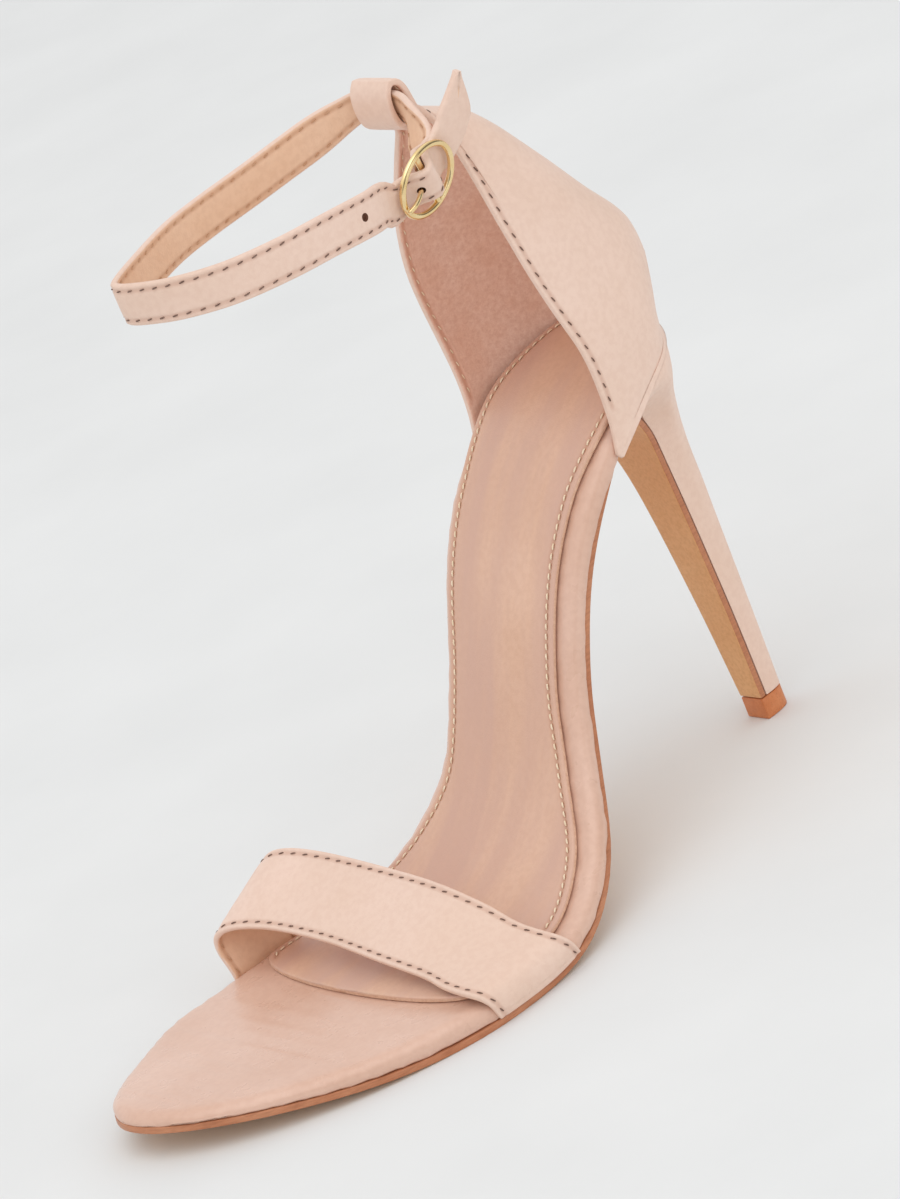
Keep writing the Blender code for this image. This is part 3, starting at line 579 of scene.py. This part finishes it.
def sew(name, laid_lines, look, seed, pitch=SEAM_PITCH, length=SEAM_STITCH, width=SEAM_WIDTH, slant=12):
    """One mesh of small slanted stitches along lines on a surface."""
    rng = np.random.default_rng(seed)
    points, faces, tints = [], [], []
    for line, normals in laid_lines:
        run = ways_along(line)
        count = int((run[-1] - length) / pitch)
        first = (run[-1] - count * pitch) / 2
        for k in range(count + 1):
            at = first + k * pitch
            centre, normal, ahead = (
                Vector([np.interp(way, run, column) for column in table.T])
                for way, table in ((at, line), (at, normals), (min(at + length / 2, run[-1]), line))
            )
            normal.normalize()
            ahead = (ahead - centre - (ahead - centre).dot(normal) * normal).normalized()
            ahead = Matrix.Rotation(math.radians(slant), 3, normal) @ ahead
            faces += stitch_faces(len(points))
            points += stitch_points(centre, normal, ahead, length, width)
            tints += [rng.random()] * (STITCH_SIDES * len(STITCH_FORM))
    mesh = bpy.data.meshes.new(name)
    mesh.from_pydata([tuple(p) for p in points], [], faces)
    mesh.shade_smooth()
    mesh.materials.append(look)
    made = in_scene(name, mesh)
    store(made, "tint", tints)
    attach(made, "root")
    return made


def kept(made, slot, *nodes):
    """Puts a piece on the shoe in place of CAD nodes."""
    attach(made, "root")
    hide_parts(*nodes)
    return made


def round_over(build, groups, radius, segments=3, crisp=None):
    """Rounds the edges where two groups of faces meet, but for those that stay crisp."""
    group_of = {face: k for k, group in enumerate(groups) for face in group}
    edges = [e for e in build.edges if len({group_of.get(f) for f in e.link_faces}) > 1]
    if crisp:
        crease = build.edges.layers.float["crease_edge"]
        for edge in edges:
            edge[crease] = float(crisp(edge))
        edges = [e for e in edges if not crisp(e)]
    bmesh.ops.bevel(build, geom=edges, offset=radius, segments=segments, profile=0.5, affect="EDGES",
                    clamp_overlap=True, material=-1)


def banded(build, patch):
    """Adds loops inside a patch's border, so that grooves and rounded edges have points to lie on."""
    before = set(build.faces)
    for step in EDGE_LOOPS:
        bmesh.ops.inset_region(build, faces=patch, thickness=step, depth=0, use_even_offset=False,
                               use_boundary=True)
    return patch + [f for f in build.faces if f not in before]


def sheet_piece(name, node, looks, seam_inset, allowed, crisp=None, shaped=None):
    """A sheet of leather with rounded edges, its lining inside, and grooves for its seams."""
    build = welded(node)
    build.edges.layers.float.new("crease_edge")
    to_quads(build)
    groups = patches(build)
    borders = [border_lines(patch, seam_inset, allowed) for patch in groups[:2]]
    groups[:2] = [banded(build, patch) for patch in groups[:2]]
    for face in groups[1]:
        face.material_index = 1
    round_over(build, groups, EDGE_RADIUS, crisp=crisp)
    made = finished(name, build, looks, 2)
    if shaped:
        for v in made.data.vertices:
            v.co.x += shaped(v.co)
    made.data.update()
    tree = surface(made)
    seams = [[laid(resampled(line), tree) for line in lines] for lines in borders]
    press(made, seams[0] + seams[1], GROOVE_DEPTH, GROOVE_REACH)
    return kept(made, "nude_leather", node), seams


def counter_seam(edge):
    """The counter's top line: not its foot, which is glued under the sock."""
    a, b = edge.verts
    return abs(a.co.z - b.co.z) > 0.25 * edge.calc_length() and max(a.co.z, b.co.z) > SEWN_ABOVE


def counter_foot_edge(edge):
    """The counter's lower edge, where the heel's leather runs on."""
    a, b = edge.verts
    return max(a.co.z, b.co.z) < FOOT_TOP and abs(a.co.z - b.co.z) < 0.62 * edge.calc_length()


def seat_shift(co, shape=SEAT_SHAPE):
    """How far the leather sits forward of the CAD behind the heel's seat: in at the seat, out above it."""
    back = min(max((SHIFTED_BEHIND - co.x) / SHIFT_BLEND, 0), 1)
    return eased(back) * np.interp(co.z, *zip(*((z * MM, x * MM) for z, x in shape)))


def toe_seam(edge):
    """The toe strap's long edges. Its ends, which run along the shoe, lie between the soles."""
    a, b = edge.verts
    run = (a.co - b.co).normalized()
    return abs(run.y) > 0.45 or abs(run.z) > 0.45


def strap_rings():
    """The ankle strap's cross sections, from its point to the buckle's bar, four corners each."""
    build = welded("ankle_strap")
    top = max(build.verts, key=lambda v: v.co.z)
    build.verts.index_update()
    joined = build.copy()
    to_quads(joined)
    joined.verts.ensure_lookup_table()
    build.verts.ensure_lookup_table()
    away = top.co - mean(v.co for v in joined.verts if 4 * MM < (v.co - top.co).length < 12 * MM)
    quads = [f for f in joined.verts[top.index].link_faces if len(f.verts) == 4]
    cap = max(quads, key=lambda f: f.normal.dot(away))
    ring = [build.verts[v.index] for v in cap.verts]
    joined.free()
    seen, rings = set(ring), [[v.co.copy() for v in ring]]
    while True:
        near = {v for r in ring for f in r.link_faces for v in f.verts if v not in seen}
        near = sorted(near, key=lambda v: (min((v.co - r.co).length for r in ring), v.index))[:4]
        if len(near) < 4:
            break
        ways = itertools.permutations(near)
        ring = list(min(ways, key=lambda way: sum((a.co - b.co).length for a, b in zip(way, ring))))
        seen.update(ring)
        rings.append([v.co.copy() for v in ring])
    build.free()
    return rings


def punched_holes():
    """Centre and direction of each round hole through the ankle strap."""
    build = welded("ankle_strap")
    to_quads(build)
    found = []
    for patch in patches(build):
        verts = list(dict.fromkeys(v for f in patch for v in f.verts))
        centre = mean(v.co for v in verts)
        far = [(v.co - centre).length for v in verts]
        if 20 <= len(verts) <= 60 and max(far) < 1.6 * MM and min(far) > 0.8 * MM:
            _, _, axes = np.linalg.svd(np.array([tuple(f.normal) for f in patch]))
            found.append((centre, Vector(axes[2]).normalized()))
    build.free()
    return found


def facing(ring):
    """From the strap's lining towards its outer face, as long as twice its wall."""
    return ring[0] + ring[1] - ring[2] - ring[3]


def turned(rings):
    """The strap's cross sections with corners 0 and 1 on the outer face, and 2 and 3 on the lining."""
    ring = rings[len(rings) // 2]
    if (ring[0] - ring[1]).length < (ring[1] - ring[2]).length:
        rings = [ring[1:] + ring[:1] for ring in rings]
    ankle = mean(mean(ring) for ring in rings)
    if sum(facing(ring).normalized().dot((ring[0] - ankle).normalized()) for ring in rings) < 0:
        rings = [ring[::-1] for ring in rings]
    return rings


def even_out(rings):
    """Evens out the strap's width along its run, but for its cut point, where the rings start."""
    widths = np.array([(ring[0] - ring[1]).length for ring in rings])
    evened = np.convolve(np.pad(widths, 4, mode="edge"), np.ones(9) / 9, "valid")
    evened[:10] = widths[:10]
    for ring, width in zip(rings, evened):
        for a, b in ((0, 1), (3, 2)):
            middle, half = (ring[a] + ring[b]) / 2, (ring[a] - ring[b]).normalized() * width / 2
            ring[a], ring[b] = middle + half, middle - half


def strap_section(ring):
    """A cross section of the soft strap, with rounded edges and slightly crowned faces."""
    up, out = ring[0] - ring[1], facing(ring) / 2
    width, wall = up.length, out.length
    up, out = up / width, out / wall
    radius = min(0.42 * wall, 0.3 * width)
    shrink = min(1.0, width / (8 * MM))
    corner = [(width / 2 - radius + radius * math.cos(turn), wall / 2 - radius + radius * math.sin(turn))
              for turn in (math.pi / 2 * k / 3 for k in range(3))]
    inset = [radius + step * MM * shrink * 0.9 for step in STRAP_STEPS]
    across = [width / 2 - i for i in inset] + [0.0] + [i - width / 2 for i in reversed(inset)]
    section = []
    for side in (1, -1):
        section += [(side * u, side * v) for u, v in corner]
        for u in across:
            crown = STRAP_CROWN * shrink * (1 - (2 * u / width) ** 2)
            section.append((side * u, side * (wall / 2 + crown - 0.06 * MM)))
        section += [(-side * u, side * v) for u, v in reversed(corner)]
    middle = mean(ring)
    return [middle + up * u + out * v for u, v in section]


def line_strap(made, rings):
    """Gives the ankle strap's inner face its lining."""
    sides = len(made.data.polygons) // (len(rings) - 1)
    for polygon in made.data.polygons:
        ring = rings[min(polygon.index // sides, len(rings) - 1)]
        if polygon.normal.dot(facing(ring).normalized()) < -0.75:
            polygon.material_index = 1


def strap_seams(made, rings):
    """Seam lines along both edges of the strap's outer face, then of its lining, but for its tail."""
    tree = surface(made)
    faces = []
    for corners in ((0, 1), (3, 2)):
        lines = []
        for near, far in (corners, corners[::-1]):
            sewn = [ring for ring in rings if (ring[far] - ring[near]).length > NARROWEST_SEWN]
            line = [ring[near] + (ring[far] - ring[near]).normalized() * ANKLE_SEAM for ring in sewn]
            even = resampled(np.array([tuple(p) for p in line]))
            lines.append(laid(even[int(PLAIN_TAIL / LINE_STEP):], tree))
        faces.append(lines)
    return faces


def punch(made, cut_look_index):
    """Cuts the round holes through the ankle strap, and gives their walls the look of cut leather."""
    holes, cutters = punched_holes(), []
    for centre, axis in holes:
        bpy.ops.mesh.primitive_cylinder_add(vertices=28, radius=PUNCHED / 2, depth=6 * MM, location=centre,
                                            rotation=axis.to_track_quat("Z", "Y").to_euler())
        cut = made.modifiers.new("Hole", "BOOLEAN")
        cut.operation = "DIFFERENCE"
        cut.object = bpy.context.object
        cutters.append(cut.object)
    settle(made, 50)
    for polygon in made.data.polygons:
        for centre, axis in holes:
            off = polygon.center - centre
            off -= off.dot(axis) * axis
            if off.length < PUNCHED * 0.51 and abs(polygon.normal.dot(axis)) < 0.3:
                polygon.material_index = cut_look_index
    for cutter in cutters:
        bpy.data.objects.remove(cutter)


def make_ankle_strap(looks, threads):
    """The ankle strap, swept afresh through its cross sections, with its seams and holes."""
    rings = turned(strap_rings())
    even_out(rings)
    build = bmesh.new()
    grid = [[build.verts.new(p) for p in strap_section(ring)] for ring in rings]
    skin(build, grid)
    build.faces.new(grid[0])
    build.faces.new(reversed(grid[-1]))
    made = finished("ankle_strap_leather", build, looks, 0)
    line_strap(made, rings)
    seams = strap_seams(made, rings)
    press(made, seams[0] + seams[1], GROOVE_DEPTH, GROOVE_REACH)
    punch(made, 2)
    sew("ankle_strap_seams", seams[0], threads[0], 3)
    sew("ankle_strap_lining_seams", seams[1], threads[1], 4)
    return kept(made, "nude_leather", "ankle_strap")


def facing_up(patch):
    """How much of a patch faces up."""
    return sum(f.normal.z * f.calc_area() for f in patch)


def rounded_loop(points, times):
    """A closed loop with more points, on a smooth curve through these ones."""
    p0, p1, p2, p3 = np.roll(points, 1, 0), points, np.roll(points, -1, 0), np.roll(points, -2, 0)
    bend, twist = 2 * p0 - 5 * p1 + 4 * p2 - p3, 3 * p1 - p0 - 3 * p2 + p3
    rows = [0.5 * (2 * p1 + (p2 - p0) * t + bend * t**2 + twist * t**3) for t in np.arange(times) / times]
    return np.stack(rows, 1).reshape(-1, points.shape[1])


def outward(loop):
    """Directions out of a closed flat loop, one for each of its points."""
    ahead = np.roll(loop, -1, 0) - np.roll(loop, 1, 0)
    ahead /= np.linalg.norm(ahead, axis=1)[:, None]
    away = np.stack([ahead[:, 1], -ahead[:, 0]], 1)
    return away * np.sign(np.sum(away * (loop - loop.mean(0))))


class Bed:
    """The top of a layer of the sole, flat from side to side, measured by ways along and across it."""

    def __init__(self, node, out, seat_out):
        build = welded(node)
        to_quads(build)
        top = max(patches(build, 17)[:2], key=facing_up)
        rim = border_lines(top, -out, lambda edge: True)[0]
        co = np.array([tuple(v.co) for face in top for v in face.verts])
        self.solid = np.array([tuple(v.co) for v in build.verts])
        build.free()
        co = co[np.argsort(co[:, 0])]
        self.x = np.linspace(co[0, 0], co[-1, 0], 160)
        self.z = np.interp(self.x, co[:, 0], co[:, 2])
        self.along = np.concatenate([[0], np.cumsum(np.hypot(np.diff(self.x), np.diff(self.z)))])
        self.slope = -np.arctan2(np.gradient(self.z, self.along), np.gradient(self.x, self.along))
        ends = np.clip(rim[:, 0], self.x[0], self.x[-1])
        lean = np.cos(np.interp(ends, self.x, self.slope))
        rim = np.stack([np.interp(ends, self.x, self.along) + (rim[:, 0] - ends) / lean, rim[:, 1]], 1)
        share = np.clip((SEAT_END - rim[:, 0]) / (0.6 * SEAT_END), 0, 1)[:, None]
        self.rim = rounded_loop(rim + outward(rim) * seat_out * eased(share), 24)
        self.tree = tree_of([(along, across, 0) for along, across in self.rim])

    def place(self, along, across, height):
        """A point in space, by its way along and across the bed and its height over it."""
        inside = min(max(along, 0.0), self.along[-1])
        slope = np.interp(inside, self.along, self.slope)
        past = along - inside
        x = np.interp(inside, self.along, self.x) + past * math.cos(slope) + height * math.sin(slope)
        z = np.interp(inside, self.along, self.z) - past * math.sin(slope) + height * math.cos(slope)
        return Vector((x, across, z))

    def to_rim(self, along, across):
        """The distance from a point on the bed to its rim."""
        return self.tree.find((along, across, 0))[2]

    def sides(self, along):
        """The outline's two sides at this way along."""
        start, end = self.rim[:, 0].argmin(), self.rim[:, 0].argmax()
        loop = np.roll(self.rim, -start, 0)
        turn = (end - start) % len(loop)
        one, other = loop[: turn + 1], np.vstack([loop[turn:], loop[:1]])[::-1]
        found = [np.interp(along, side[:, 0], side[:, 1]) for side in (one, other)]
        return min(found), max(found)

    def depth(self, along):
        """How thick the layer is here."""
        top = self.place(along, 0, 0)
        down = self.place(along, 0, -1) - top
        off = self.solid - np.array(top)
        near = off[np.abs(off[:, 0] * down.z - off[:, 2] * down.x) < 4 * MM]
        return float((near[:, 0] * down.x + near[:, 2] * down.z).max())


def layer_piece(name, bed, looks, top_height, foot, depth):
    """A layer of the sole, built in cross sections from heel to toe.

    Its top's height depends on the way to the rim. Its lower edges are cut off at foot.
    """
    first, last = bed.rim[:, 0].min(), bed.rim[:, 0].max()
    build = bmesh.new()
    grid = []
    for turn in np.linspace(0, math.pi, LAYER_ROWS + 1)[1:-1]:
        along = first + (last - first) * (1 - math.cos(turn)) / 2
        low, high = bed.sides(along)
        scale = min(1.0, (high - low) / 2 / ((LAYER_STEPS[-1] + 3) * MM))
        offsets = [step * MM * scale for step in LAYER_STEPS]
        middle = list(np.linspace(low + offsets[-1], high - offsets[-1], 6))[1:-1]
        across = [low + o for o in offsets] + middle + [high - o for o in reversed(offsets)]
        ring = []
        for y in across:
            away = max(0.0, min(bed.to_rim(along, y), y - low, high - y))
            ring.append(bed.place(along, y, top_height(away)))
        down, tuck = -depth(along), min(foot, (high - low) / 4)
        wall = ((high, down + foot), (high - tuck, down), (low + tuck, down), (low, down + foot))
        ring += [bed.place(along, y, height) for y, height in wall]
        grid.append([build.verts.new(p) for p in ring])
    top, sides, edge_look = len(across) - 1, len(grid[0]), len(looks) - 1
    for k, face in enumerate(skin(build, grid)):
        face.material_index = 0 if k % sides < top else edge_look
    for ring in (grid[0], grid[-1]):
        build.faces.new(ring).material_index = edge_look
    return finished(name, build, looks, 0)


def rolled(away, reach, drop):
    """How far a rolled edge has dropped at this way in from it."""
    return drop * (1 - math.sqrt(max(0.0, 1 - max(0.0, 1 - away / reach) ** 2)))


def insole_height(away):
    """The insole's top, rolled over at its edge and rounded a little further in."""
    return -rolled(away, INSOLE_EDGE, INSOLE_OUT) - rolled(away, INSOLE_ROLL, INSOLE_DROP)


def make_insole(look):
    """The wrapped insole."""
    bed = Bed("insole", INSOLE_OUT, INSOLE_SEAT)
    made = layer_piece("insole_leather_cover", bed, [look], insole_height, INSOLE_FOOT, bed.depth)
    store(made, "groove_dirt_and_shade", np.zeros(len(made.data.vertices)))
    return kept(made, "insole_leather", "insole")


def sock_height(away):
    """The sock's top, softly crowned, with a rolled edge."""
    crown = SOCK_CROWN * min(1.0, away / CROWN_REACH) ** 0.6
    return crown - rolled(away, SOCK_EDGE, SOCK_EDGE_DROP)


def sock_line(bed):
    """The sock's seam, which runs round its rim but for the front end."""
    line = bed.rim - outward(bed.rim) * SOCK_SEAM
    line = np.array([p for p in line if bed.to_rim(*p) > 0.96 * SOCK_SEAM])
    front = bed.rim[:, 0].max() - SOCK_SEAM_STOP
    start = next(i for i in range(len(line)) if line[i - 1, 0] > front >= line[i, 0])
    line = np.roll(line, -start, 0)
    return np.array([tuple(bed.place(*p, 0)) for p in line if p[0] <= front])


def make_sock(look, edge_look, seam_look):
    """The sewn pad on the insole."""
    bed = Bed("insole_sock", SOCK_OUT, SOCK_SEAT)
    made = layer_piece("sock_leather_pad", bed, [look, edge_look], sock_height, SOCK_FOOT,
                       lambda along: SOCK_WALL)
    lines = [laid(resampled(sock_line(bed)), surface(made))]
    press(made, lines, SOCK_GROOVE_DEPTH, SOCK_GROOVE_REACH)
    sew("sock_seam", lines, seam_look, 7, SOCK_PITCH, SOCK_STITCH, SOCK_STITCH_WIDTH, slant=8)
    return kept(made, "sock_leather", "insole_sock")


def make_outsole(face_look, edge_look):
    """The thin sole: its face towards the floor is tan, its edge is stained."""
    build = welded("outsole")
    to_quads(build)
    groups = patches(build)
    for face in build.faces:
        face.material_index = 1
    for face in min(groups[:2], key=facing_up):
        face.material_index = 0
    round_over(build, groups, OUTSOLE_EDGE, 2)
    made = finished("outsole_leather_sheet", build, [face_look, edge_look], 1)
    return kept(made, "outsole_tan", "outsole")


def make_counter(looks, threads):
    """The heel quarter with its tab, sewn along its top line."""
    _, seams = sheet_piece("counter_leather_quarter", "counter", looks, COUNTER_SEAM, counter_seam,
                           counter_foot_edge, seat_shift)
    sew("counter_seams", seams[0], threads[0], 1)
    sew("counter_lining_seams", seams[1], threads[1], 2)


def make_toe_strap(looks, threads):
    """The band over the toes, sewn along both edges."""
    _, seams = sheet_piece("toe_strap_leather", "toe_strap", looks, TOE_SEAM, toe_seam)
    sew("toe_strap_seams", seams[0], threads[0], 5)
    sew("toe_strap_lining_seams", seams[1], threads[1], 6)


def counter_foot():
    """Points round the outer lower edge of the counter."""
    build = welded("counter")
    to_quads(build)
    line = resampled(max(border_lines(patches(build)[0], 0, counter_foot_edge), key=len))
    build.free()
    line[:, 0] += [seat_shift(Vector(p)) for p in line]
    return line


def make_heel(look):
    """The covered heel. Its top flares out to meet the counter's foot, so the leather runs on."""
    build = welded("heel")
    to_quads(build)
    round_over(build, patches(build, 42), HEEL_EDGE, 2)
    made = finished("heel_cover", build, [look], 2)
    foot = counter_foot()
    walls = [v for v in made.data.vertices if v.normal.z < 0.75]
    for v in walls:
        v.co.x += seat_shift(v.co, HEEL_SHAPE)
        nearest = Vector(foot[np.linalg.norm(foot - np.array(v.co), axis=1).argmin()])
        share = max(0.0, 1 - max(0.0, nearest.z - v.co.z - 0.4 * MM) / SEAT_FLARE) ** 2
        raised = max(0.0, 1 - max(0.0, nearest.z - v.co.z) / RIM_REACH)
        inward = (Vector((SEAT_MIDDLE, 0)) - nearest.xy).normalized() * (FLARE_GAP + RIM_TUCK * raised)
        v.co.x += (nearest.x + inward.x - v.co.x) * share
        v.co.y += (nearest.y + inward.y - v.co.y) * share
        v.co.z += RIM_RISE * raised
    made.data.update()
    store(made, "groove_dirt_and_shade", np.zeros(len(made.data.vertices)))
    return kept(made, "nude_leather", "heel")


def make_heel_tip(look):
    """The top piece that the heel stands on."""
    build = welded("heel_tip")
    bmesh.ops.dissolve_limit(build, angle_limit=math.radians(2), verts=build.verts, edges=build.edges)
    round_over(build, patches(build), TIP_EDGE, 3)
    made = finished("heel_top_piece", build, [look], 0, sharp=35)
    return kept(made, "tip_rubber", "heel_tip")


def wire_ring(build, centre, radius, first, second):
    """New points round a centre, in the plane of two directions."""
    turns = [2 * math.pi * i / WIRE_SIDES for i in range(WIRE_SIDES)]
    return [build.verts.new(centre + radius * (math.cos(t) * first + math.sin(t) * second)) for t in turns]


def buckle_measures():
    """The ring's centre, the directions of its length, width and depth, and half of each to the wire."""
    points = np.array([tuple(v.co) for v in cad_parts["buckle_frame"].data.vertices])
    points = np.unique(np.round(points, 6), axis=0)
    centre = points.mean(0)
    _, _, axes = np.linalg.svd(points - centre)
    reach = [(points - centre) @ axis for axis in axes]
    centre = centre + sum(axis * (r.max() + r.min()) / 2 for axis, r in zip(axes, reach))
    half = [(r.max() - r.min()) / 2 - WIRE / 2 for r in reach]
    return Vector(centre), [Vector(axis) for axis in axes], half


def make_buckle(look):
    """The oval ring with its bar, of round wire, and the tongue."""
    centre, (along, up, out), half = buckle_measures()
    build = bmesh.new()
    turns = np.linspace(0, 2 * math.pi, 96, endpoint=False)
    oval = [centre + along * half[0] * math.cos(t) + up * half[1] * math.sin(t) for t in turns]
    rings = []
    for before, here, after in zip(oval[-1:] + oval, oval, oval[1:] + oval[:1]):
        side = (after - before).normalized().cross(out).normalized()
        rings.append(wire_ring(build, here, WIRE / 2, side, out))
    skin(build, rings + rings[:1])
    bar = [wire_ring(build, centre + up * half[1] * share, BAR / 2, along, out)
           for share in np.linspace(-1, 1, 13)]
    skin(build, bar)
    build.faces.new(reversed(bar[0]))
    build.faces.new(bar[-1])
    made = finished("buckle_ring", build, [look], 0, sharp=60)
    kept(made, "pale_gold", "buckle_frame")
    build = welded("buckle_prong")
    to_quads(build)
    made = finished("buckle_tongue", build, [look], 2)
    return kept(made, "pale_gold", "buckle_prong")


def area_light(name, direction, distance, size, energy):
    """A round lamp that faces the shoe from this direction."""
    lamp = bpy.data.lights.new(name, "AREA")
    lamp.shape = "DISK"
    lamp.size = size
    lamp.energy = energy
    made = in_scene(name, lamp)
    made.location = CENTRE + direction.normalized() * distance
    made.rotation_euler = direction.to_track_quat("Z", "Y").to_euler()


def make_floor():
    """The pale ground that the shoe stands on, twelve metres across."""
    half = 6.0
    mesh = bpy.data.meshes.new("studio_floor")
    corners = [(-half, -half, 0), (half, -half, 0), (half, half, 0), (-half, half, 0)]
    mesh.from_pydata(corners, [], [(0, 1, 2, 3)])
    mesh.materials.append(paper("studio_paper", PAPER))
    floor = in_scene("studio_floor", mesh)


def make_world():
    """Even light all round. Glossy faces mirror a room that is dark at its lower right."""
    world = bpy.data.worlds.new("studio")
    bpy.context.scene.world = world
    world.use_nodes = True
    nodes, links = world.node_tree.nodes, world.node_tree.links
    background = nodes["Background"]
    background.inputs["Strength"].default_value = 0.88
    way = nodes.new("ShaderNodeTexCoord")
    across = nodes.new("ShaderNodeVectorMath")
    across.operation = "DOT_PRODUCT"
    across.inputs[1].default_value = (PICTURE_UP * 0.6 - PICTURE_RIGHT * 0.8).normalized()
    room = nodes.new("ShaderNodeMapRange")
    for socket, value in (("From Min", -0.35), ("From Max", 0.55), ("To Min", 0.12), ("To Max", 1.15)):
        room.inputs[socket].default_value = value
    path = nodes.new("ShaderNodeLightPath")
    mix = nodes.new("ShaderNodeMix")
    mix.data_type = "RGBA"
    mix.inputs[6].default_value = (0.99, 0.99, 1.0, 1)
    links.new(way.outputs["Generated"], across.inputs[0])
    links.new(across.outputs["Value"], room.inputs["Value"])
    links.new(room.outputs["Result"], mix.inputs[7])
    links.new(path.outputs["Is Glossy Ray"], mix.inputs[0])
    links.new(mix.outputs[2], background.inputs["Color"])


def make_lamps():
    """Two large soft lamps: one above the camera's left, a weaker one at its right."""
    left = -PICTURE_RIGHT
    area_light("key", TO_CAMERA * 0.9 + left * 0.55 + PICTURE_UP * 0.9, 2.2, 2.4, 11)
    area_light("fill", TO_CAMERA + left * -0.9 + PICTURE_UP * 0.3, 2.4, 1.8, 6)


def make_camera():
    """The photograph's point of view."""
    lens = bpy.data.cameras.new("camera")
    lens.sensor_fit = "VERTICAL"
    lens.sensor_height = 36
    lens.sensor_width = 36
    lens.lens = LENS
    lens.clip_start = 0.05
    camera = in_scene("camera", lens)
    place = CENTRE + TO_CAMERA * CAMERA_DISTANCE
    back = (place - AIM).normalized()
    right = PICTURE_UP.cross(back).normalized()
    turn = Matrix((right, back.cross(right), back)).transposed()
    camera.matrix_world = Matrix.Translation(place) @ turn.to_4x4()
    bpy.context.scene.camera = camera
    bpy.context.scene.view_settings.view_transform = "Standard"


def main():
    nude = smooth_leather("nude_leather_smooth", NUDE, 0.44)
    wrap = smooth_leather("insole_leather_smooth", WRAP, 0.30, grain=0.2, coat=0.35)
    # The sock's greyer streaks are partly painted sheen.
    sock = smooth_leather("sock_leather_smooth", SOCK, 0.42, sheen_streak=SOCK_SHEEN_STREAK)
    sock_edge = suede("sock_cut_edge", SOCK_CUT)
    lining = suede("counter_lining_suede", LINING)
    strap_lining = smooth_leather("strap_lining_leather", STRAP_LINING, 0.5)
    cut_edge = suede("punched_edge", PUNCHED_CUT)
    sole = sole_leather("sole_leather_tan", SOLE, 0.42, (0.35, 1.0, 1.0))
    sole_edge = sole_leather("sole_edge_stain", SOLE_STAIN, 0.36, (0.25, 0.25, 1.5))
    tip = rubber("heel_tip_rubber", TIP)
    gold = plated("pale_gold_plated", GOLD)
    # The outer seams' stitches are coloured with the painted shade of their stitch holes.
    hole_shade_thread = thread("hole_shade_thread", HOLE_SHADE_THREAD)
    pale_thread = thread("cream_thread", PALE_THREAD)
    tan_thread = thread("tan_thread", TAN_THREAD)

    make_insole(wrap)
    make_sock(sock, sock_edge, pale_thread)
    make_outsole(sole, sole_edge)
    make_heel(nude)
    make_heel_tip(tip)
    make_counter([nude, lining], [hole_shade_thread, pale_thread])
    make_toe_strap([nude, strap_lining], [hole_shade_thread, tan_thread])
    make_ankle_strap([nude, strap_lining, cut_edge], [hole_shade_thread, tan_thread])
    make_buckle(gold)
    make_floor()
    make_world()
    make_lamps()
    make_camera()


main()
